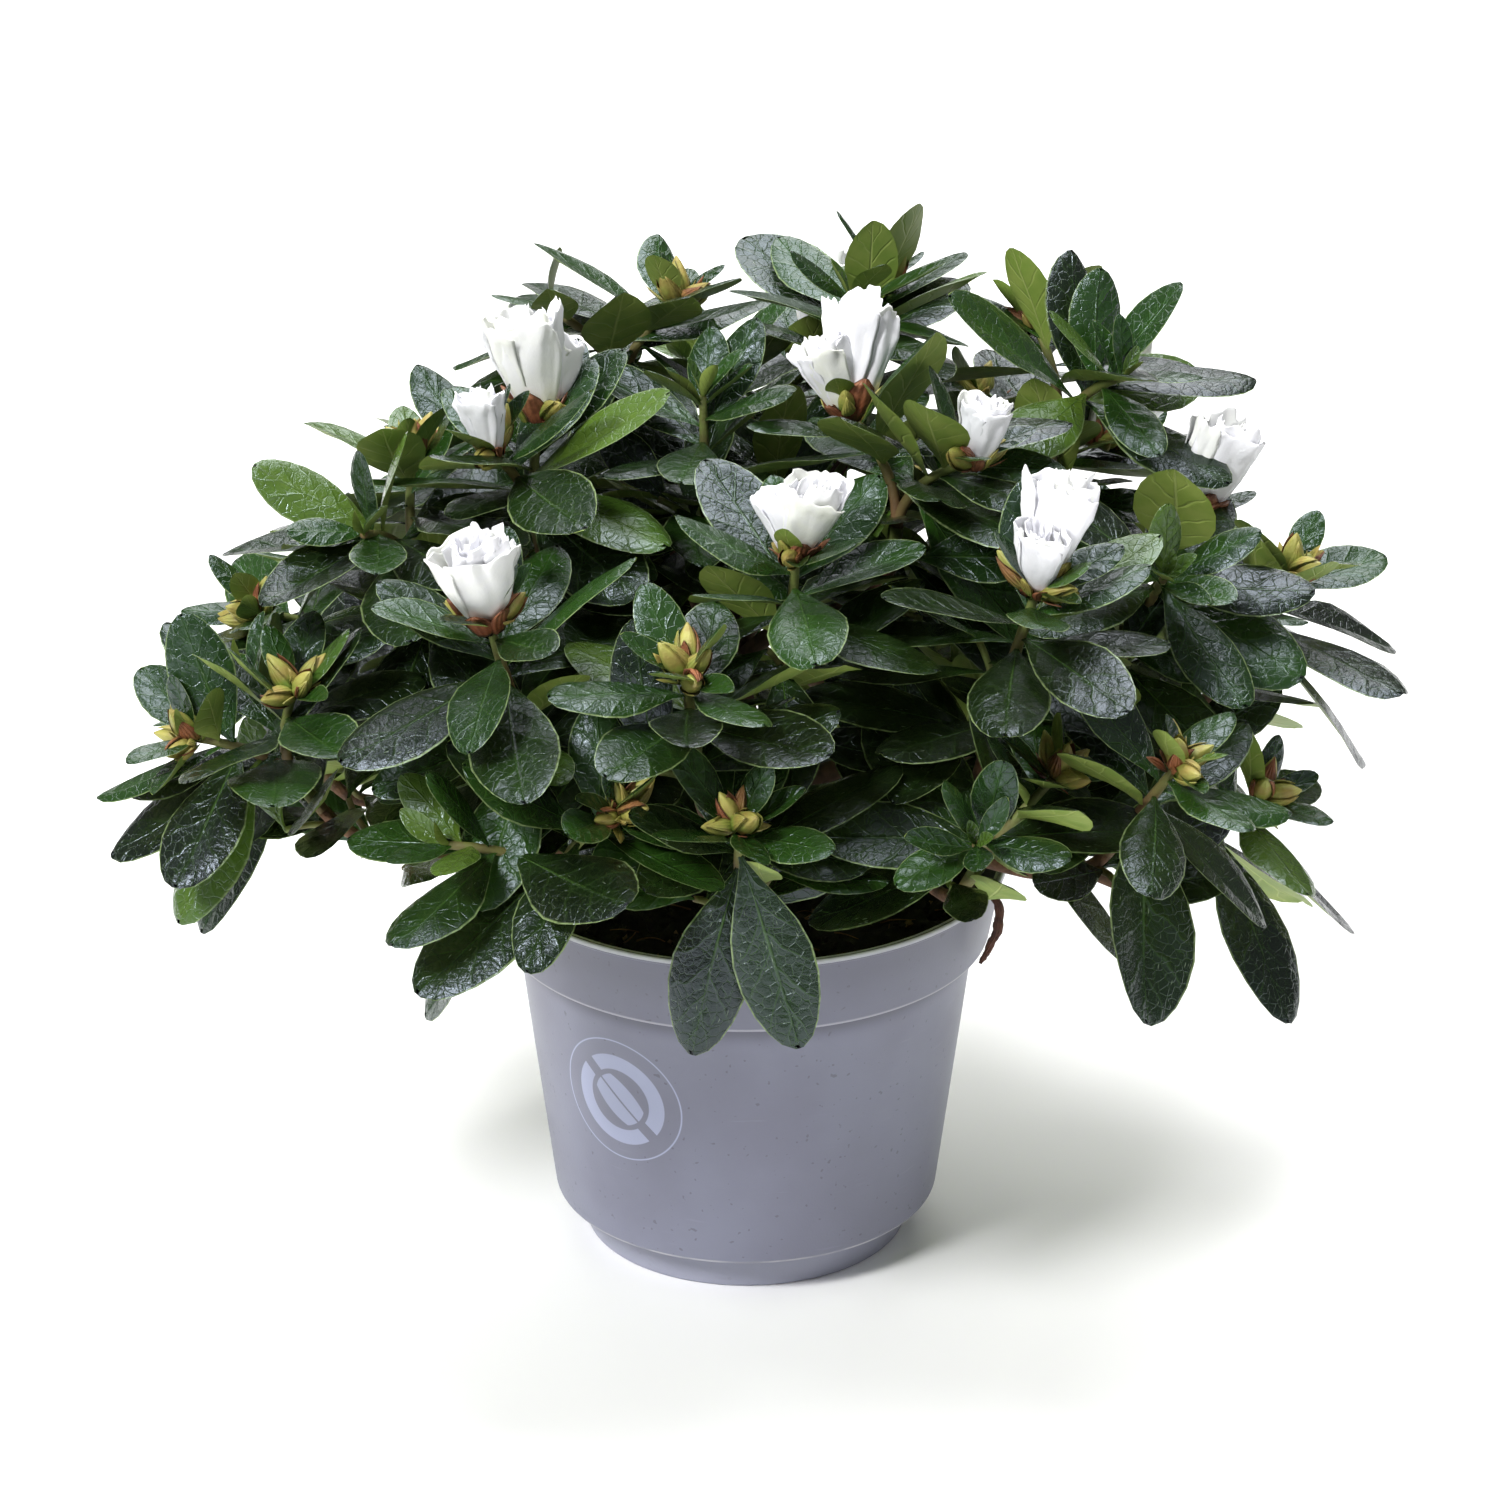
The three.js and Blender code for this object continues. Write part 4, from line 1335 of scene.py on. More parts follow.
# --- wood
@dataclass
class Wood:
    """The stem, boughs and twigs as round limbs with the bark's relief."""

    plant: Plant

    def radius(self, limb: Limb, share: Array) -> Array:
        """Tapers a limb; the stem flares over its lowest third by (1 - t / 0.3)^2 of its flare.

        Args:
            limb: the limb.
            share: shares of its length.

        Returns:
            The radius at each share, in millimetres.
        """
        size = self.plant.wood
        if limb.name == "stem":
            flare = np.maximum(0, 1 - share / 0.3) ** 2
            return size.stem_neck + (size.stem_top - size.stem_neck) * share + (
                size.stem_foot - size.stem_neck) * flare
        return limb.foot_radius + (limb.tip_radius - limb.foot_radius) * share

    def shape(self, limbs: Sequence[Limb], steps: int, sides: int, height: float) -> Shape:
        """Makes tubes of limbs, with ridges and knots as broad and fine waves.

        Args:
            limbs: the limbs.
            steps: rings of each.
            sides: corners of a ring.
            height: height of the bark's relief in metres.

        Returns:
            The gathered tubes.
        """
        share = np.linspace(0, 1, steps)
        paths = np.array([bezier(limb.points, share * limb.reach) for limb in limbs]) * MM
        radii = np.array([self.radius(limb, share * limb.reach) for limb in limbs]) * MM
        shape = Shape()
        shape.add_tubes(paths, radii, sides, [chance(i, 77) for i in range(len(limbs))],
                        lambda p: height * (waves(p, 0.006, 5) + 0.5 * waves(p, 0.0022, 6)))
        return shape

    def tree(self) -> BVHTree:
        """Gives a tree of the boughs, as plain six-sided tubes, which leaves keep clear of.

        Returns:
            The tree.
        """
        share = np.linspace(0.08, 0.93, 10)
        paths = np.array([bezier(limb.points, share) for limb in self.plant.boughs]) * MM
        shape = Shape()
        shape.add_tubes(paths, 1.6 * MM, 6)
        corners, faces = together(shape.batches)
        return BVHTree.FromPolygons(corners.tolist(), faces)

    def build(self, bark: Material, green: Material) -> list[Object]:
        """Makes the stem, the boughs and the twigs that bear leaves, each kind a piece.

        Args:
            bark: the finish of the stem and boughs.
            green: the finish of the twigs.

        Returns:
            The three pieces.
        """
        stem = Limb("stem", self.plant.stem(), 0, 0)
        twigs = [twig for twig in self.plant.twigs if twig.reach > 0]
        return [self.shape([stem], 40, 28, 0.28 * MM).piece("stem_bark", [bark]),
                self.shape(self.plant.boughs, 22, 12, 0.14 * MM).piece("bough_bark", [bark]),
                self.shape(twigs, 9, 8, 0.06 * MM).piece("twigs", [green])]


# --- blossom and buds
def each(values: Sequence[float]) -> Array:
    """Stands a list of numbers, one for each sheet, beside the sheets' rows and columns."""
    return np.asarray(values)[:, None, None]


def along_and_across(rows: int, columns: int) -> tuple[Array, Array]:
    """Gives the shares along, 0 to 1, and across, -1 to 1, of a sheet's grid."""
    return np.linspace(0, 1, rows)[None, :, None], np.linspace(-1, 1, columns)[None, None, :]


def round_the_axis(up: Array, radius: Array, angle: Array, press: float = 1.0) -> Array:
    """Stands points round the X axis: (up, radius cos(angle), press radius sin(angle))."""
    return np.roll(polar(radius, angle, up) * (1, press, 1), 1, -1)


@dataclass
class Flower:
    """One blossom or bud: its frame, its size and its keys for chance."""

    root: Array
    along: Array
    above: Array
    size: float
    keys: tuple[int, ...]

    def rng(self, purpose: int) -> np.random.Generator:
        """Starts this flower's own source of chance for one purpose."""
        return np.random.default_rng(int(1e6 * chance(*self.keys, purpose)))

    def set_in_frame(self, points: Array) -> Array:
        """Sets points made along +X, upper side to +Z, in the flower's frame: root + x X + y Y + z Z."""
        x = unit(self.along)
        y = unit(np.cross(self.above, x))
        return (self.root + points @ np.stack([x, y, np.cross(x, y)])) * MM


@dataclass
class Blossom:
    """Half-open double white flowers: pleated petals folded round each other in a narrow-footed cup.

    A pair of numbers is a range that chance draws from for each petal. A row of crumple gives the size
    of its waves, their height and their seed.
    """

    height: float = 27.0
    mouth: float = 10.4
    neck: float = 3.4
    outer: int = 4
    inner: int = 6
    rows: int = 9
    columns: int = 25
    half_width: tuple = (0.95, 1.2)
    mouth_flare: tuple = (-1.6, 0.7)
    lobe_rate: tuple = (3.4, 5.0)
    lobe_bulge: tuple = (0.5, 1.0)
    scallop: tuple = (0.5, 1.1)
    frill: tuple = (0.25, 0.6)
    frill_rate: tuple = (10.0, 16.0)
    ruffle: tuple = (0.2, 1.0)
    crumple: tuple = ((12.0, 0.9, 11), (4.5, 0.42, 31))

    def press(self, flower: Flower) -> float:
        """Gives how far a flower's cup is pressed flat, as a share of its width."""
        return 0.5 + 0.16 * chance(*flower.keys, 88)

    def swell(self, flower: Flower) -> float:
        """Gives the power by which a flower widens from its neck: low for a plump one, high for a fan."""
        return 0.5 + 0.35 * chance(*flower.keys, 89)

    def petals(self, flower: Flower) -> Array:
        """Works out a flower's petals as sheets in its own frame.

        With h up the petal and s across it, a point stands at the angle a0 + half w(h) s round the
        flower, at the radius (neck + (mouth - neck) h^e) layer and at the height H h (1 - 0.08 s^4).
        Lobes of the form |sin(k s + a)| bulge the petal between creases and scallop its edge. The cup
        is pressed flat one way, and waves that grow towards the mouth crumple it.

        Args:
            flower: the flower.

        Returns:
            (petals, rows, columns, 3) points in millimetres.
        """
        rng = flower.rng(90)
        count = self.outer + self.inner
        layer = np.concatenate([np.linspace(1.0, 0.92, self.outer), np.linspace(0.8, 0.2, self.inner)])
        rise = rng.uniform(0.88, 1.0, count) + 0.06 * (np.arange(count) >= self.outer)
        start = 1.62 * np.arange(count) + 1.57 + rng.uniform(-0.5, 0.5, count)
        draw = lambda low, high: each(rng.uniform(low, high, count))
        h, s = along_and_across(self.rows, self.columns)
        h = np.sin(0.5 * np.pi * h)
        angle = each(start) + draw(*self.half_width) * (0.72 + 0.28 * np.clip(h / 0.5, 0, 1)) * s
        radius = self.neck + (self.mouth - self.neck) * h ** self.swell(flower)
        radius = (radius + 1.1 * s * h) * each(layer)
        radius = radius + draw(*self.mouth_flare) * np.clip((h - 0.6) / 0.4, 0, 1) ** 2
        phase = draw(0, 6.28)
        lobes = np.abs(np.sin(draw(*self.lobe_rate) * s + phase))
        radius = radius + draw(*self.lobe_bulge) * h * (lobes - 0.6)
        up = self.height * each(rise) * h * (1 - 0.08 * s**4) + draw(*self.scallop) * h**6 * lobes
        up = up + draw(*self.frill) * h**8 * np.sin(draw(*self.frill_rate) * s + phase)
        up = up + draw(*self.ruffle) * h**4 * np.sin(3.1 * s + draw(0, 6.28))
        points = round_the_axis(up, radius, angle, self.press(flower))
        crumple = sum(high * np.stack([waves(points + 40 * i, size, seed + i + flower.keys[0])
                                       for i in range(3)], -1) for size, high, seed in self.crumple)
        return (points + crumple * h[..., None] ** 1.2) * flower.size

    def bracts(self, flower: Flower, count: int = 6) -> Array:
        """Works out the papery scales round a flower's neck: narrow sheets that hug it and curl out.

        Args:
            flower: the flower.
            count: how many scales it has.

        Returns:
            (scales, rows, columns, 3) points in millimetres.
        """
        rng = flower.rng(91)
        h, s = along_and_across(6, 5)
        wide = np.sin(np.pi * np.clip(0.18 + 0.8 * h, 0, 1)) ** 0.7
        angle = each(np.arange(count) * 2.4 + rng.uniform(0, 6))
        angle = angle + each(rng.uniform(0.45, 0.7, count)) * wide * s
        long = each(rng.uniform(7, 12, count))
        share = np.clip(h * long / self.height, 0, 1)
        radius = self.neck + 0.7 + (self.mouth - self.neck) * share ** self.swell(flower)
        radius = radius + each(rng.uniform(0.1, 2.0, count)) * h**3
        return round_the_axis(long * h - 1.5, radius, angle, self.press(flower) + 0.1) * flower.size


@dataclass
class Buds:
    """Closed buds: ovoids of overlapping scales, with narrow bracts round their feet."""

    length: float = 12.4
    radius: float = 3.0
    turns: tuple = (0.0, 1.5, 3.1, 4.6)
    longs: tuple = (0.98, 0.6, 0.94, 0.52)
    clasps: tuple = (1.0, 0.55, 1.0, 0.5)

    def body(self, t: Array) -> Array:
        """Gives a bud's radius at t along it: R (sin(pi t^0.8))^0.75."""
        return self.radius * np.sin(np.pi * np.clip(t, 0.012, 0.985) ** 0.8) ** 0.75

    def scale_sheets(self, flower: Flower) -> Array:
        """Works out a bud's scales: two long ones that clasp it and two short ones between them, all
        pointed and lifted a little at their tips.

        Args:
            flower: the flower.

        Returns:
            (scales, rows, columns, 3) points in millimetres.
        """
        rng = flower.rng(92)
        count = len(self.turns)
        h, s = along_and_across(7, 5)
        t = 0.01 + each(np.array(self.longs) * rng.uniform(0.88, 1.04, count)) * h
        wide = np.sin(np.pi * np.clip(0.3 + 0.68 * h, 0, 1)) ** 0.8
        start = np.array(self.turns) + rng.uniform(0, 6) + rng.uniform(-0.2, 0.2, count)
        angle = each(start) + each(rng.uniform(0.8, 1.0, count) * self.clasps) * wide * s
        radius = self.body(t) + 0.22 + each(rng.uniform(0.1, 1.2, count)) * h**4
        up = self.length * t - 0.6 - 0.35 * s**2
        return round_the_axis(up, radius, angle) * flower.size

    def bracts(self, flower: Flower, count: int, size: float) -> Array:
        """Works out narrow pointed bracts that spread round a bud's foot.

        With h along and s across, a bract lies at (L h cos t, ...) leaning out by t, keeled by
        0.45 |s|, as wide as sin(pi h^0.8)^0.9.

        Args:
            flower: the bud.
            count: how many bracts it has.
            size: their size against the usual one.

        Returns:
            (bracts, rows, columns, 3) points in millimetres.
        """
        rng = flower.rng(93)
        h, s = along_and_across(6, 5)
        long = each(rng.uniform(8.5, 12.5, count) * size)
        width = long * 0.17 * np.maximum(np.sin(np.pi * h**0.8), 0.03) ** 0.9
        turn = (np.arange(count) + rng.uniform(-0.25, 0.25, count)) / count
        angle = each(2 * np.pi * turn + rng.uniform(0, 6))
        lean = each(rng.uniform(0.6, 1.05, count))
        out = 2.3 * size + long * np.sin(lean) * h * (1 - 0.25 * h) - 0.45 * np.abs(s) * width
        y = out * np.cos(angle) - width * s * np.sin(angle)
        z = out * np.sin(angle) + width * s * np.cos(angle)
        return np.stack(np.broadcast_arrays(long * np.cos(lean) * h - 1.2, y, z), -1)


@dataclass
class Flowering:
    """Sets blossom, buds and their scales at the shoots' tips, where the source's rule has them."""

    plant: Plant
    blossom: Blossom = field(default_factory=Blossom)
    buds: Buds = field(default_factory=Buds)

    def flowers(self, shoot: Shoot) -> list[Flower]:
        """Gives the blossom or first buds of a shoot, by the source's rule.

        Args:
            shoot: the shoot.

        Returns:
            Its flowers, or none if it carries leaves alone.
        """
        sizes = {Tip.BLOSSOM: [1, 0.74], Tip.PAIR: [0.76, 0.62], Tip.SMALL_BLOSSOM: [0.62],
                 Tip.BUDS: [1, 0.85], Tip.LEAVES: []}[shoot.tip]
        side = turned(shoot.across(), shoot.axis, 360 * chance(shoot.mass, shoot.number, 11))
        made = []
        for i, size in enumerate(sizes):
            lean = math.radians(30 if len(sizes) > 1 else 6) * (-1.2 if i else 1)
            along = shoot.axis * math.cos(lean) + side * math.sin(lean)
            above, keys = side, (shoot.mass, shoot.number, i)
            if shoot.tip is not Tip.BUDS:
                along = along + UP
                above = turned(-FRONT_TO_BACK, UP, 38 * swing(*keys, 97))
            made.append(Flower(shoot.at(1) - shoot.axis * 1.2, unit(along), above, size, keys))
        return made

    def small_buds(self, shoot: Shoot) -> list[Flower]:
        """Gives the two lesser buds that stand beside a shoot's blossom or first buds.

        Args:
            shoot: the shoot.

        Returns:
            The buds, or none if the shoot carries leaves alone.
        """
        made = []
        for i in range(0 if shoot.tip is Tip.LEAVES else 2):
            keys = (shoot.mass, shoot.number, 20 + i)
            around = 360 * chance(shoot.mass, shoot.number, 11) + 90 + 180 * i + 25 * swing(*keys, 1)
            side = turned(shoot.across(), shoot.axis, around)
            lean = math.radians(56 + 10 * swing(*keys, 2))
            along = unit(shoot.axis * math.cos(lean) + side * math.sin(lean))
            size = 0.9 + 0.12 * swing(*keys, 3)
            made.append(Flower(shoot.at(1) - shoot.axis * 0.8 + side * 1.4, along, side, size, keys))
        return made

    def sheet_piece(self, name: str, shape_of: Callable[[Flower], Array], flowers: Sequence[Flower],
                    thick: float, finishes: Sequence[Material], in_turn: bool = False
                    ) -> Object:
        """Makes one kind of sheet of many flowers into one piece, with cells in the bake map.

        Args:
            name: the piece's name.
            shape_of: gives a flower's sheets in its own frame.
            flowers: the flowers.
            thick: the sheets' thickness in millimetres.
            finishes: the sheets' materials.
            in_turn: whether they are dealt out in turn, and not by chance.

        Returns:
            The piece.
        """
        sheets = np.concatenate([flower.set_in_frame(shape_of(flower)) for flower in flowers])
        corners, faces, places, side = closed_sheets(sheets, thick * MM)
        order = np.arange(len(sheets))
        tone = np.modf(np.sin(order * 12.9898) * 43758.5453)[0] % 1.0
        kind = (np.modf(np.sin(order * 78.233) * 9631.7)[0] % 1.0 * len(finishes)).astype(int)
        kind = order % len(finishes) if in_turn else kind
        shape = Shape()
        shape.add(corners, faces, places, atlas_cells(places, side, len(sheets)),
                  np.repeat(kind, len(faces) // len(sheets)), np.repeat(tone, len(corners) // len(sheets)))
        return shape.piece(name, finishes)

    def core_piece(self, flowers: Sequence[Flower], finish: Material) -> Object:
        """Makes the buds' closed cores, which show between their scales, into one piece.

        Args:
            flowers: the buds.
            finish: their material.

        Returns:
            The piece.
        """
        t = np.linspace(0, 1, 9)
        size = np.array([flower.size for flower in flowers])[:, None]
        roots, alongs = (np.array([getattr(flower, name) for flower in flowers])[:, None]
                         for name in ("root", "along"))
        paths = roots + (size * (self.buds.length * t - 0.6))[..., None] * alongs
        shape = Shape()
        shape.add_tubes(paths * MM, 0.9 * size * self.buds.body(t) * MM, 10,
                        [chance(*flower.keys, 95) for flower in flowers])
        return shape.piece("bud_cores", [finish])


# --- pot and compost
def welded(parts: Sequence[tuple[Array, Array]]) -> tuple[Array, list[list[int]]]:
    """Joins parts at the corners they share, to the micron.

    Args:
        parts: corners and faces of each part.

    Returns:
        The corners and faces of the whole, with faces that fell flat left out.
    """
    corners, faces = together(parts)
    _, first, index = np.unique(np.round(corners * 1e6).astype(np.int64), axis=0, return_index=True,
                                return_inverse=True)
    loops = [[int(v) for k, v in enumerate(ids) if v != ids[k - 1]] for ids in index.ravel()[faces]]
    return corners[first], [loop for loop in loops if len(loop) > 2]


def rounded(profile: Sequence[tuple[float, float, float]], steps: int = 4) -> Array:
    """Rounds a profile's corners: each corner (r, z, size) becomes the quadratic curve between the
    points a size away from it on its two sides.

    Args:
        profile: radius, height and rounding of each corner.
        steps: points of each rounding.

    Returns:
        The rounded profile, (points, 2).
    """
    points = np.array(profile, float)[:, :2]
    curves = []
    for before, here, after, corner in zip(points, points[1:], points[2:], profile[1:]):
        a, b = (here + unit(end - here) * min(corner[2], 0.48 * np.linalg.norm(end - here))
                for end in (before, after))
        curves.append(bezier([a, here, b], np.linspace(0, 1, steps)))
    return np.concatenate([points[:1], *curves, points[-1:]])


def lathe(profile: Array, sides: int) -> tuple[Array, Array]:
    """Turns a profile round the Z axis: (r cos a, r sin a, z).

    Args:
        profile: (points, 2) radius and height in millimetres.
        sides: corners of a ring.

    Returns:
        Corners in metres, ring by ring, and faces.
    """
    a = np.linspace(0, 2 * np.pi, sides, endpoint=False)
    corners = polar(profile[:, :1], a, profile[:, 1:]) * MM
    return corners.reshape(-1, 3), grid_faces(len(profile), sides, around=True)


def plain_piece(name: str, corners: Array, faces: Sequence[Sequence[int]],
                materials: Sequence[Material], smooth: float = 35.0) -> Object:
    """Makes a mesh object whose faces look outwards, smooth but for its sharper edges.

    Args:
        name: its name.
        corners: corner places in metres.
        faces: each face's corner numbers.
        materials: its materials.
        smooth: the angle in degrees from which an edge stays sharp.

    Returns:
        The object.
    """
    mesh = bpy.data.meshes.new(name)
    mesh.from_pydata(corners.tolist(), [], faces)
    if len(faces) > 1:
        work = bmesh.new()
        work.from_mesh(mesh)
        bmesh.ops.recalc_face_normals(work, faces=work.faces)
        work.to_mesh(mesh)
        work.free()
    mesh.update()
    mesh.shade_smooth()
    mesh.set_sharp_from_angle(angle=math.radians(smooth))
    return add_object(name, mesh, materials)


@dataclass
class Pot:
    """The thin-walled round nursery pot, with its flared band, rolled lip, foot and drain holes."""

    size: PotSize = field(default_factory=PotSize)
    arc: int = 24

    @property
    def sides(self) -> int:
        """Number of corners round the pot: as many arcs as there are drain holes."""
        return self.arc * self.size.drain_count

    def wall_profile(self) -> Array:
        """Gives the wall from the underside's ring of holes, up the outside, over the lip and down the
        inside to the floor's ring of holes.

        Returns:
            (points, 2) radius and height in millimetres, with rounded corners.
        """
        p = self.size
        band_top = p.rim_radius - p.lip * 0.7
        outer = p.drain_ring + 2.6 * p.drain_radius
        return rounded([
            (outer, 0, 0), (p.foot_radius, 0, 0.8), (p.foot_top_radius, p.ledge - 1.2, 1.0),
            (p.foot_top_radius + 1.2, p.ledge - 0.9, 0.8), (p.body_foot_radius - 0.9, p.ledge - 0.3, 0.5),
            (p.body_foot_radius - 0.2, p.ledge + 0.7, 0.8),
            (p.body_top_radius, p.band_bottom - 0.6, 0.7), (p.band_radius - 0.4, p.band_bottom + 0.2, 0.7),
            (p.band_radius + 0.1, p.band_bottom + 1.2, 0.5),
            (band_top, p.height - p.lip - 0.3, 0.3), (p.rim_radius - 0.25, p.height - p.lip - 0.1, 0.35),
            (p.rim_radius, p.height - 0.9, 0.45), (p.rim_radius - 0.5, p.height - 0.02, 0.4),
            (band_top - 0.15, p.height - 0.1, 0.2), (band_top - 0.55, p.height - 0.75, 0.2),
            (band_top - 0.9, p.height - 0.15, 0.2), (band_top - p.wall, p.height - 0.4, 0.3),
            (p.band_radius - p.wall, p.band_bottom + 2, 0.8),
            (p.body_top_radius - p.wall, p.band_bottom - 1, 0.8),
            (p.body_foot_radius - p.wall, p.ledge + 3.2, 1.2),
            (p.foot_top_radius - p.wall, p.ledge + 0.6, 0.8),
            (p.foot_radius - p.wall, p.floor, 0.8), (outer, p.floor, 0)])

    def floor(self) -> list[tuple[Array, Array]]:
        """Works out the floor with its holes: in each sector, rings go from the sector's outline to the
        hole's circle, (1 - t) outline + t circle, on the floor's under and upper side, and a short wall
        joins the two circles; a disc on each side fills the middle.

        Returns:
            Corners and faces of each part.
        """
        p = self.size
        inner, outer = p.drain_ring - 2.6 * p.drain_radius, p.drain_ring + 2.6 * p.drain_radius
        half = math.pi / p.drain_count
        arcs = np.linspace(-half, half, self.arc + 1)
        radial = np.linspace(outer, inner, 9)
        r, a = np.concatenate([
            np.stack([np.full(self.arc, outer), arcs[:-1]]), np.stack([radial[:-1], np.full(8, half)]),
            np.stack([np.full(self.arc, inner), arcs[:0:-1]]),
            np.stack([radial[:0:-1], np.full(8, -half)])], 1)
        outline, middle = polar(r, a), np.array([p.drain_ring, 0, 0])
        hole = middle + polar(p.drain_radius, np.arctan2(outline[:, 1], outline[:, 0] - p.drain_ring))
        t = np.linspace(0, 1, 4)[:, None, None]
        rings = (1 - t) * outline + t * hole
        stack = np.concatenate([rings, rings[::-1] + UP * p.floor])
        parts = []
        for turn in half * (2 * np.arange(p.drain_count) + 1):
            c, s = math.cos(turn), math.sin(turn)
            corners = stack @ np.array([[c, s, 0], [-s, c, 0], UP]) * MM
            parts.append((corners.reshape(-1, 3), grid_faces(len(stack), len(outline), around=True)))
        for radii, z in (((inner, 0.5 * inner, 0), 0), ((0, 0.5 * inner, inner), p.floor)):
            corners, faces = lathe(np.array([(r, z) for r in radii]), self.sides)
            parts.append((corners, faces[:, ::-1]))
        return parts

    def build(self, plastic: Material) -> Object:
        """Makes the pot as one closed shell."""
        corners, faces = welded([lathe(self.wall_profile(), self.sides), *self.floor()])
        return plain_piece("pot_shell", corners, faces, [plastic])


@dataclass
class Compost:
    """The dark compost: an uneven crust with crumbs, pale bits and plant fibres on it."""

    pot: PotSize = field(default_factory=PotSize)
    size: CompostSize = field(default_factory=CompostSize)
    crumbs: int = 620
    fibres: int = 90

    def height(self, r: Array) -> Array:
        """Gives the surface's height by radius: from the middle down to the edge, bent at 0.55 R.

        Args:
            r: distances from the pot's axis.

        Returns:
            The heights.
        """
        edge = self.edge_radius()
        low, high = self.size.edge, self.size.middle
        return np.interp(r, [0, self.size.flat_radius, 0.55 * edge, edge],
                         [high, high, low + 0.6 * (high - low), low])

    def edge_radius(self) -> float:
        """Gives the crust's radius, clear of the pot's wall."""
        p = self.pot
        share = (self.size.edge - p.band_bottom) / (p.height - p.band_bottom)
        return p.band_radius + (p.rim_radius - p.band_radius) * share - p.wall - 1.3

    def crust(self) -> tuple[Array, list[list[int]]]:
        """Works out the crust: z = height(r) + lumps of 1.0, 0.7 and 0.35 mm, over a body that follows
        the pot's inside, closed by a disc below.

        Returns:
            Corners and faces.
        """
        edge, sides = self.edge_radius(), 144
        a = np.linspace(0, 2 * np.pi, sides, endpoint=False)
        r = np.linspace(0.0, edge, 46)[:, None]
        flat = polar(r, a)
        lumps = sum(high * waves(flat, size, seed)
                    for high, size, seed in ((1.0, 9.0, 51), (0.7, 3.4, 52), (0.35, 1.7, 53)))
        ease = np.clip((edge - r) / 3, 0, 1) * np.clip(r / 4, 0, 1)
        z = self.height(r) + lumps * ease - 0.8 * (1 - np.clip(r / 14, 0, 1))
        top = polar(r, a, z)
        top[0] = [0, 0, self.size.middle - 0.8]
        p = self.pot
        clear = p.wall + 0.3
        below, _ = lathe(np.array([
            (edge, self.size.edge - 1.5), (p.band_radius - clear - 0.2, p.band_bottom + 3),
            (p.body_top_radius - clear, p.band_bottom - 1), (p.body_foot_radius - clear - 0.2, p.ledge + 4),
            (p.foot_top_radius - clear - 0.2, p.ledge + 1.2), (p.foot_radius - clear, p.floor + 0.3),
            (0.0, p.floor + 0.3)]), sides)
        whole = np.concatenate([top.reshape(-1, 3) * MM, below])
        return welded([(whole, grid_faces(len(whole) // sides, sides, around=True))])

    def bits(self, rng: np.random.Generator) -> tuple[Array, Array, Array]:
        """Scatters crumbs: squashed, dented eight-sided grains of 0.8 to 3.4 mm, each turned at random.

        Args:
            rng: the source of chance.

        Returns:
            Corners, faces and each face's finish.
        """
        base = np.array([(1, 0, 0), (-1, 0, 0), (0, 1, 0), (0, -1, 0), (0, 0, 1), (0, 0, -1)], float)
        faces = np.array([(0, 2, 4), (2, 1, 4), (1, 3, 4), (3, 0, 4), (2, 0, 5), (1, 2, 5), (3, 1, 5),
                          (0, 3, 5)])
        n = self.crumbs
        size = rng.uniform(0.5, 1.5, (n, 1, 1)) ** 1.4 * rng.uniform(0.6, 1.4, (n, 1, 3))
        shape = base * size * rng.uniform(0.75, 1.25, (n, 6, 1))
        x, other, _ = np.moveaxis(unit(rng.normal(size=(n, 3, 3))), 1, 0)
        y = unit(np.cross(other, x))
        turn = np.stack([x, y, np.cross(x, y)], 1)
        r = (self.edge_radius() - 1.5) * np.sqrt(rng.uniform(0.03, 1, n))
        a = rng.uniform(0, 2 * np.pi, n)
        at = polar(r, a, self.height(r) + rng.uniform(0.1, 1.0, n))
        corners = (shape @ turn + at[:, None]) * MM
        every = faces[None] + (np.arange(n) * 6)[:, None, None]
        return corners.reshape(-1, 3), every.reshape(-1, 3), np.repeat(rng.uniform(0, 1, n) > 0.86, 8)

    def fibre_paths(self, rng: np.random.Generator) -> tuple[Array, Array]:
        """Lays plant fibres on the crust, each bent one way along its length.

        Args:
            rng: the source of chance.

        Returns:
            Their paths and radii in metres.
        """
        t = np.linspace(0, 1, 7)
        draw = lambda low, high: rng.uniform(low, high, (self.fibres, 1))
        r = (self.edge_radius() - 7) * np.sqrt(draw(0.05, 1))
        a, heading, long, bend = draw(0, 2 * np.pi), draw(0, 2 * np.pi), draw(4, 13), draw(-1.4, 1.4)
        turn, step = heading + bend * t, long / len(t)
        x = r * np.cos(a) + np.cumsum(np.cos(turn) * step, 1) - long / 2
        y = r * np.sin(a) + np.cumsum(np.sin(turn) * step, 1)
        inside = np.minimum(1, (self.edge_radius() - 1) / np.maximum(np.hypot(x, y), 1e-6))
        x, y = x * inside, y * inside
        z = self.height(np.hypot(x, y)) + 0.8 + 0.9 * np.sin(np.pi * t) * draw(0, 1)
        return np.stack([x, y, z], -1) * MM, draw(0.12, 0.32) * (1 - 0.5 * t) * MM

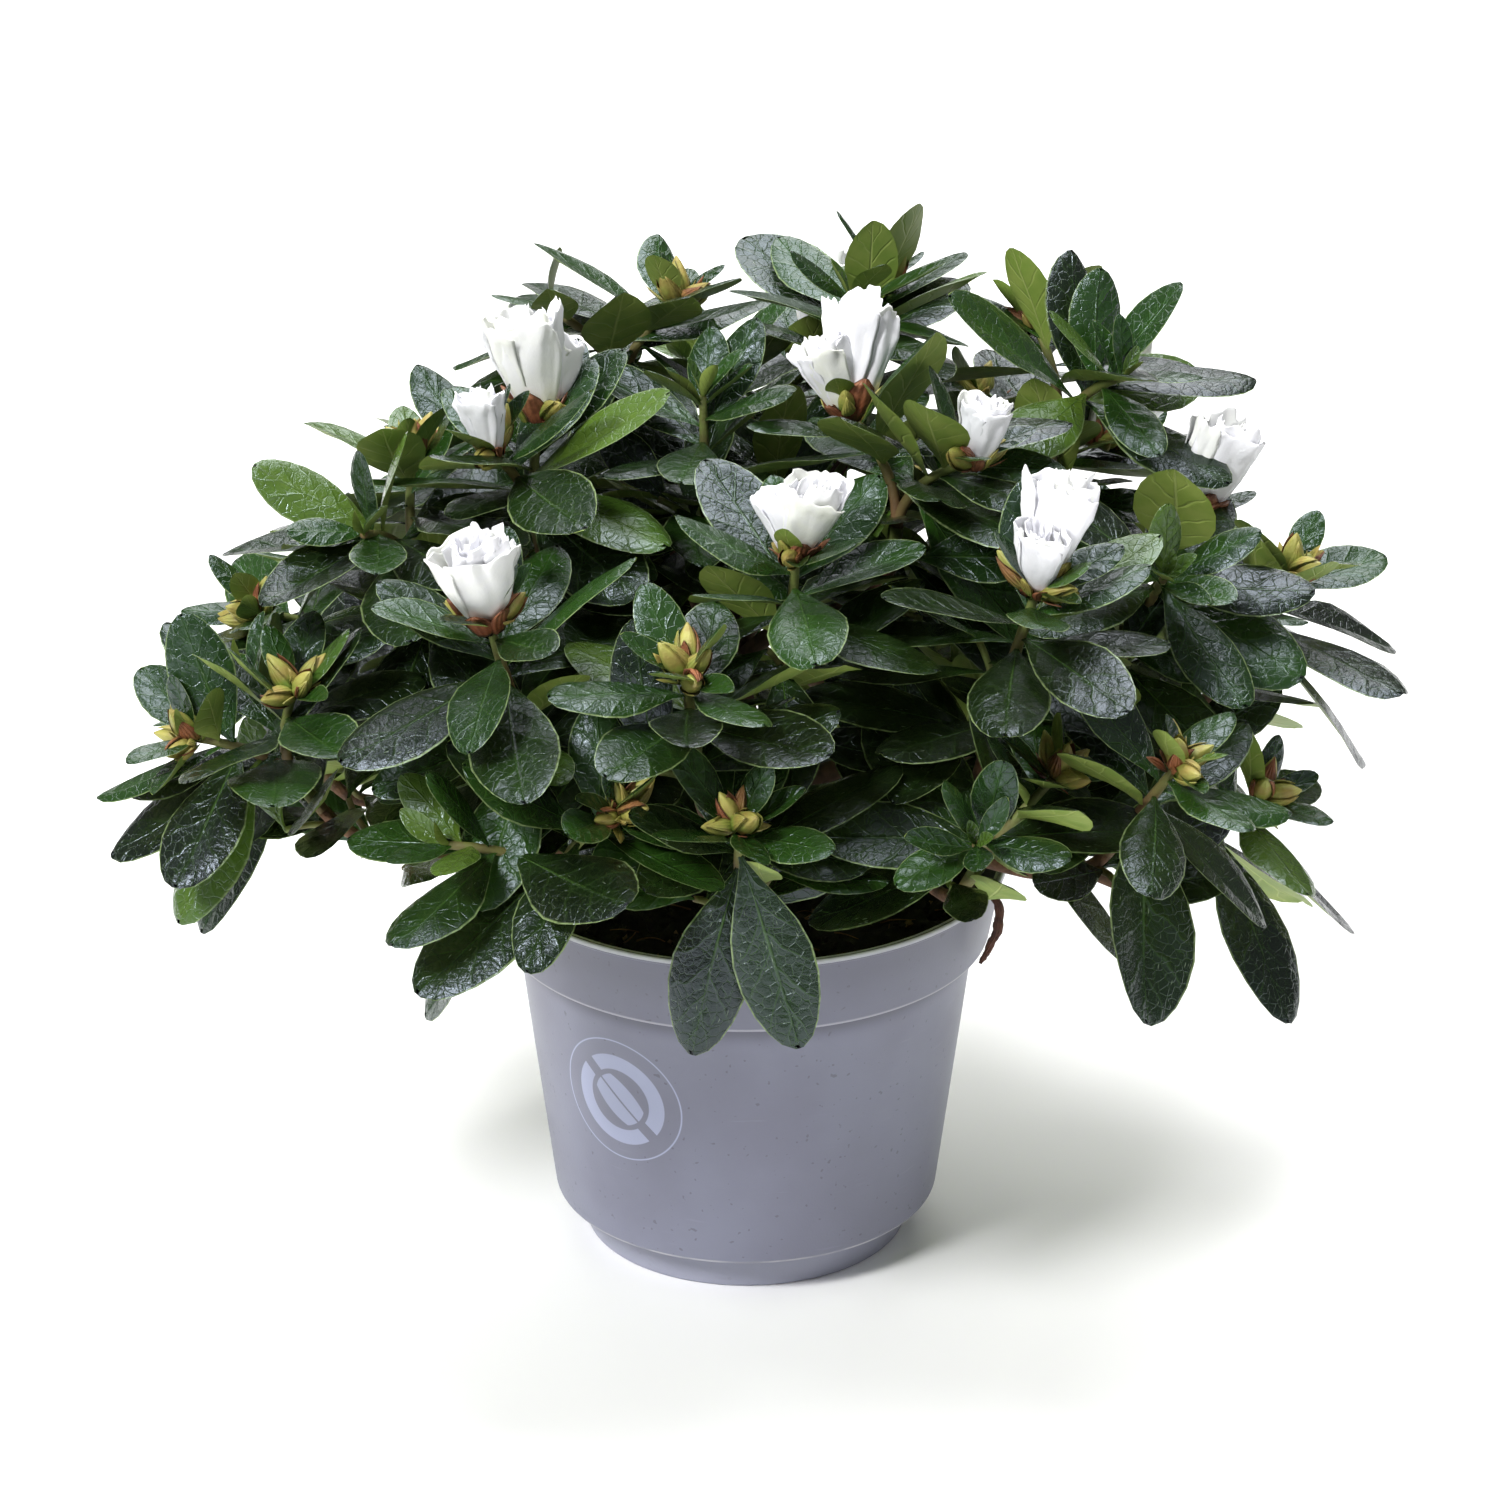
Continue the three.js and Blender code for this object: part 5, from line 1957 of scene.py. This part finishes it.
    def build(self, soil: Material, pale: Material, fibre: Material
              ) -> list[Object]:
        """Makes the compost.

        Args:
            soil: the crust's finish, and most crumbs'.
            pale: the finish of the pale bits among the crumbs.
            fibre: the fibres' finish.

        Returns:
            The crust, its crumbs and its fibres.
        """
        rng = np.random.default_rng(7)
        crust = plain_piece("compost_crust", *self.crust(), [soil], 80)
        grains, triangles, light = self.bits(rng)
        crumbs = Shape()
        crumbs.add(grains, triangles, np.full((len(triangles), 3, 2), 0.5), None, light.astype(int),
                   np.repeat(rng.uniform(0, 1, self.crumbs), 6))
        strands = Shape()
        strands.add_tubes(*self.fibre_paths(rng), 5)
        return [crust, crumbs.piece("compost_crumbs", [soil, pale], False),
                strands.piece("compost_fibres", [fibre])]


@dataclass
class DeadStem:
    """A dried, curled scrap of stem that hangs from the compost over the pot's rim."""

    path: tuple = ((47.5, -15.5, 88.0), (52.0, -18.5, 97.0), (56.5, -23.0, 103.4), (60.0, -27.0, 102.2),
                   (61.9, -28.9, 97.0), (61.0, -29.6, 91.5), (58.6, -30.0, 87.0), (57.0, -30.4, 84.0))
    radius: float = 1.2

    def build(self, dry: Material) -> Object:
        """Makes the scrap: a wrinkled tube along its smoothed points, thin at both ends.

        Args:
            dry: its finish.

        Returns:
            The piece.
        """
        t = np.linspace(0, 1, 40)
        knots = np.linspace(0, 1, len(self.path))
        line = np.stack([np.interp(t, knots, [p[i] for p in self.path]) for i in range(3)], 1)
        kernel = np.array([1, 3, 5, 3, 1]) / 13
        padded = np.pad(line, ((2, 2), (0, 0)), mode="edge")
        line = sum(kernel[k] * padded[k:k + len(t)] for k in range(5))
        radii = self.radius * np.sqrt(np.clip(np.sin(np.pi * np.clip(t, 0.02, 0.98)), 0.05, 1))
        shape = Shape()
        shape.add_tubes(line[None] * MM, radii[None] * MM, 12, (0.3,),
                        lambda p: 0.00035 * waves(p, 0.0035, 61) + 0.00018 * waves(p, 0.0013, 62))
        return shape.piece("dead_stem", [dry])


@dataclass(frozen=True)
class PotFinish:
    """Satin moulded plastic with dark specks, faint scuffs and a pale printed roundel, plus painted shade
    under and on the band, painted highlights on the ledge, the band's edge and the lip, and painted light on
    the foot.
    """

    body: tuple = colour(124, 126, 144)
    shade: tuple = colour(113, 113, 130)
    speck: tuple = colour(84, 84, 96)
    scuff: tuple = colour(138, 140, 158)
    print_colour: tuple = colour(170, 176, 205)
    # painted highlight: the light lines along the ledge and along the band's lower edge
    painted_edge_highlight: tuple = colour(196, 194, 200)
    # painted highlight: the glints along the lip's two edges
    glint: tuple = colour(214, 216, 226)
    # painted light: lightens the foot below the ledge, where it lies in shade
    edge: tuple = colour(164, 166, 182)
    # painted shade: the shadow under the band and the crown's shade over the band
    under: tuple = colour(82, 82, 94)
    roughness: float = 0.42
    mark_bearing: float = -125.3
    mark_height: float = 0.0538
    mark_radius: float = 0.0170
    mark_reach: float = 0.0512
    size: PotSize = field(default_factory=PotSize)

    def material(self, effects: Effects) -> Material:
        """Builds the pot's plastic: its mottled body, and marks laid over it from first to last, among them
        painted shade, painted highlights and painted light.

        Args:
            effects: the shared shader groups.

        Returns:
            The material.
        """
        material, g = new_material("pot_plastic")
        place = g.place()
        m = g.use(effects.mottle, Scale=30.0, Share=0.6, Main=self.body, Other=self.shade, Place=place)
        fine = g.noise(place, 1900.0, 2.0)
        long = g.node("Mapping", {"Vector": place, "Scale": (60.0, 60.0, 900.0)}).outputs[0]
        split = g.node("SeparateXYZ", {0: place})
        z = split.outputs[2]
        level = g.node("CombineXYZ", {0: split.outputs[0], 1: split.outputs[1]}).outputs[0]
        r = g.node("VectorMath", {0: level}, operation="LENGTH").outputs["Value"]
        p, band = self.size, self.size.band_bottom
        over = lambda value, limit: g.maths("GREATER_THAN", value, limit * MM)
        ramp = lambda value, low, high, *to: g.span(value, low * MM, high * MM, *to)
        near = lambda value, at: ramp(g.maths("ABSOLUTE", g.minus(value, at * MM)), 0.2, 0.5, 1, 0)
        outside = over(r, p.body_top_radius - 1.2)
        # painted shadow under the band, strongest just below it
        below = g.maths("LESS_THAN", z, (band - 0.1) * MM)
        painted_shadow_under_band = g.maths("POWER", g.times(ramp(z, band - 7.8, band - 1.5), below), 2.0)
        # the lip's two ridges, where highlights are painted
        lip_edges = g.maths("MAXIMUM", near(r, p.rim_radius - 0.4), near(r, p.rim_radius - 2.0))
        marks = (
            (g.times(g.span(g.noise(place, 620.0, 1.0), 0.70, 0.76), 0.55), self.speck),
            (g.span(g.noise(long, 1.0, 3.0), 0.66, 0.75, 0, 0.25), self.scuff),
            (self.roundel(g, place), self.print_colour),
            # painted highlight along the ledge's edge, broken by noise
            (g.times(near(z, p.ledge + 0.2), over(r, p.body_foot_radius - 1.6),
                     g.span(g.noise(place, 110.0), 0.35, 0.6, 0.2, 0.65)), self.painted_edge_highlight),
            # painted shadow under the band
            (g.times(painted_shadow_under_band, outside, 0.7), self.under),
            # painted shade of the crown over the band, darker towards its top
            (g.times(ramp(z, band, band + 0.6), ramp(z, band + 2, band + 17, 0.28, 0.6), outside),
             self.under),
            # painted highlight along the band's lower edge
            (g.times(near(z, band + 0.7), outside, 0.4), self.painted_edge_highlight),
            # painted highlights along the lip
            (g.times(lip_edges, over(z, p.height - 1.1), 0.85), self.glint),
            # painted light on the foot, strongest below the ledge and fading up to it
            (ramp(z, p.ledge - 0.8, p.ledge, 0.6, 0), self.edge),
        )
        base = m["Colour"]
        for mask, paint in marks:
            base = g.blend(mask, base, paint)
        bump = g.node("Bump", {"Height": fine, "Strength": 0.12, "Distance": 0.0003})
        rough = g.plus(g.times(m["Noise"], 0.14), self.roughness - 0.06)
        g.shade(Base_Color=base, Roughness=rough, Normal=bump.outputs[0])
        return material

    def roundel(self, g: Graph, place: NodeSocket) -> NodeSocket:
        """Draws the roundel's mask: a ring where the distance from its middle is near its radius, two
        arcs within it, and a leaf where two circles overlap, parted by its rib.

        Args:
            g: the material's graph.
            place: the object's own coordinates.

        Returns:
            The mask.
        """
        a, radius = math.radians(self.mark_bearing), self.mark_radius
        out, level = (math.cos(a), math.sin(a), 0.0), (-math.sin(a), math.cos(a), 0.0)
        dot = lambda v: g.node("VectorMath", {0: place, 1: v}, operation="DOT_PRODUCT").outputs["Value"]
        x = dot(level)
        z = g.minus(dot(tuple(UP)), self.mark_height)
        facing = g.maths("GREATER_THAN", dot(out), self.mark_reach * 0.7)
        away = lambda dx, dz: g.maths("SQRT", g.plus(g.maths("POWER", g.plus(x, dx), 2),
                                                     g.maths("POWER", g.plus(z, dz), 2)))
        within = lambda d, r: g.span(d, r - 0.00012, r + 0.00012, 1, 0)
        middle = away(0.0, 0.0)
        ring = g.minus(within(middle, radius), within(middle, radius - 0.00035))
        disc = g.minus(within(middle, radius * 0.74), within(middle, radius * 0.5))
        lobe = 0.55 * radius
        off_rib = g.maths("ABSOLUTE", g.plus(x, z))
        leaf = g.times(within(away(lobe, lobe), 1.05 * radius), within(away(-lobe, -lobe), 1.05 * radius),
                       g.maths("GREATER_THAN", off_rib, 0.0004), within(middle, radius * 0.42))
        arcs = g.times(disc, g.maths("GREATER_THAN", off_rib, 0.0022))
        drawn = g.maths("MAXIMUM", g.maths("MAXIMUM", ring, arcs), leaf)
        return g.times(drawn, facing, 0.85)


# --- studio
@dataclass
class Studio:
    """A pale floor, soft light from above and the left, and the camera."""

    camera_at: Point = (0.0, -1.21935, 0.6557)
    pitch: float = 23.41
    yaw: float = -0.047
    lens: float = 129.6
    daylight: float = 0.18
    floor_reach: float = 6.0

    def camera(self) -> None:
        """Sets the camera at its height and angle."""
        data = bpy.data.cameras.new("camera")
        data.lens, data.sensor_width, data.clip_end = self.lens, 36, 50
        made = add_object("camera", data)
        made.location = self.camera_at
        made.rotation_euler = (math.radians(90 - self.pitch), 0, math.radians(self.yaw))
        bpy.context.scene.camera = made

    def floor(self) -> None:
        """Lays a wide pale floor."""
        corners = self.floor_reach * np.array([(-1, -1, 0), (1, -1, 0), (1, 1, 0), (-1, 1, 0)])
        material, g = new_material("floor_paint")
        g.shade(Base_Color=(0.95, 0.95, 0.95, 1), Roughness=0.7)
        plain_piece("floor", corners, [[0, 1, 2, 3]], [material])

    def lamp(self, name: str, at: Point, size: float, power: float,
             toward: Point = (0, 0, 0.14)) -> None:
        """Hangs a square soft light.

        Args:
            name: its name.
            at: its place.
            size: its width in metres.
            power: its power in watts.
            toward: the point that it faces, in the crown if not given.
        """
        data = bpy.data.lights.new(name, "AREA")
        data.shape, data.size, data.energy = "SQUARE", size, power
        made = add_object(name, data)
        made.location = at
        made.rotation_euler = (Vector(toward) - Vector(at)).to_track_quat("-Z", "Y").to_euler()

    def build(self) -> None:
        """Makes the studio."""
        self.camera()
        self.floor()
        self.lamp("key", (-1.15, -1.25, 1.7), 0.55, 61)
        self.lamp("top", (0.1, 0.3, 2.1), 1.0, 40)
        self.lamp("fill", (1.3, -1.5, 1.0), 1.0, 2)
        self.lamp("back", (0.0, 1.6, 1.4), 1.6, 36, (0.0, 1.1, 0.0))
        world = bpy.data.worlds.new("studio")
        world.use_nodes = True
        sky = world.node_tree.nodes["Background"].inputs
        sky["Color"].default_value, sky["Strength"].default_value = (1, 1, 1, 1), self.daylight
        bpy.context.scene.world = world
        bpy.context.scene.view_settings.view_transform = "Standard"


# --- the whole
GROWN_FINISHES = (
    GrownFinish("compost_dark", colour(24, 19, 16), colour(38, 28, 22), colour(9, 7, 6), mottling=0.8,
                scale=260, roughness=0.9, grain=1100, depth=1.0),
    GrownFinish("compost_pale", colour(96, 74, 52), colour(140, 116, 88), colour(50, 38, 28), mottling=0.6,
                roughness=0.85, grain=1200, depth=0.8),
    GrownFinish("plant_fibre", colour(92, 62, 40), colour(130, 96, 62), colour(58, 38, 26), mottling=0.6,
                roughness=0.8, grain=1500),
    GrownFinish("bark", colour(88, 66, 48), colour(112, 78, 54), colour(52, 38, 30), scale=240,
                roughness=0.8, depth=1.0),
    GrownFinish("young_bark", colour(104, 78, 46), colour(98, 112, 50), colour(78, 58, 36), mottling=0.5,
                scale=240, roughness=0.65, grain=1600),
    GrownFinish("dry_stem", colour(78, 46, 34), colour(96, 58, 42), colour(48, 30, 26), roughness=0.8,
                depth=0.9, stripes=50.0),
    GrownFinish("petal", colour(222, 228, 180), colour(245, 245, 249), colour(236, 236, 243), mottling=0.3,
                roughness=0.6, grain=700, depth=0.22, stripes=26.0, turn_over=-0.06),
    GrownFinish("dry_scale", colour(122, 68, 40), colour(156, 104, 72), colour(88, 46, 28), scale=420,
                grain=1400, stripes=26.0),
    GrownFinish("bud_green", colour(104, 128, 46), colour(166, 162, 82), colour(138, 96, 56), mottling=0.5,
                scale=240, grain=1200, depth=0.5, stripes=34.0),
    GrownFinish("bud_brown", colour(128, 118, 56), colour(150, 92, 58), colour(96, 54, 36), mottling=0.55,
                scale=420, depth=0.8, stripes=34.0, turn_over=0.35),
)
LEAF_FINISHES = (
    LeafFinish("leaf_dark"), LeafFinish("leaf_green", colour(20, 40, 13), colour(46, 82, 24)),
    LeafFinish("leaf_young", colour(56, 82, 28), colour(94, 118, 42), flecks=0.25),
    LeafBackFinish("leaf_back"),
    # the young underside, also lightened as painted light for light shining through the leaf
    LeafBackFinish("leaf_back_young", colour(132, 154, 66), colour(152, 168, 84)),
)


def hang(piece: Object, nodes: Sequence[str] = ()) -> None:
    """Puts a piece on the part's one body and reports it.

    Args:
        piece: the piece.
        nodes: the nodes it stands for, if any.
    """
    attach(piece, "root")
    if nodes:
        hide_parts(*nodes)
    piece.data.calc_loop_triangles()
    log.info("%s: %d triangles", piece.name, len(piece.data.loop_triangles))


def main() -> None:
    """Builds the plant, its pot and the studio, piece by piece."""
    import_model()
    Studio().build()
    effects = Effects()
    plant = Plant()
    plant.grow()

    look = {finish.name: finish.material(effects) for finish in GROWN_FINISHES}
    hang(Pot().build(PotFinish().material(effects)), ["pot"])
    crust, *loose = Compost().build(look["compost_dark"], look["compost_pale"], look["plant_fibre"])
    hang(crust, ["compost"])
    for piece in (*loose, DeadStem().build(look["dry_stem"])):
        hang(piece)

    wood = Wood(plant)
    leaves = Leaves(plant, wood.tree())
    log.info("leaves placed: %d", leaves.grow())
    stem, boughs, twigs = wood.build(look["bark"], look["young_bark"])
    hang(stem, ["stem"])
    hang(boughs, [limb.name for limb in plant.boughs])
    hang(twigs)

    flowering = Flowering(plant)
    leafy = [s for s in plant.shoots if not s.low]
    blossom = [f for s in leafy if s.tip not in (Tip.BUDS, Tip.LEAVES) for f in flowering.flowers(s)]
    clusters = [f for s in leafy if s.tip is Tip.BUDS for f in flowering.flowers(s)]
    buds = clusters + [f for s in leafy for f in flowering.small_buds(s)]
    scale, green, brown = look["dry_scale"], look["bud_green"], look["bud_brown"]
    cups, closed = flowering.blossom, flowering.buds
    for piece in (
        flowering.sheet_piece("blossom", cups.petals, blossom, 0.35, [look["petal"]]),
        flowering.sheet_piece("blossom_scales", cups.bracts, blossom, 0.3, [scale, scale, green]),
        flowering.core_piece(buds, green),
        flowering.sheet_piece("bud_scales", closed.scale_sheets, buds, 0.22,
                              [green, brown, green, green, brown], in_turn=True),
        flowering.sheet_piece("bud_bracts", lambda f: closed.bracts(f, 4, 0.9),
                              [f for f in clusters if f.keys[2] == 0], 0.25, [green, green, scale]),
    ):
        hang(piece)

    finishes = [finish.material(effects) for finish in LEAF_FINISHES]
    for family in MASS_ROWS:
        nodes = [f"foliage_{mass.name}" for mass in plant.masses if mass.family == family]
        hang(leaves.piece(family, finishes), nodes)

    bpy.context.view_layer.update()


if __name__ == "__main__":
    main()
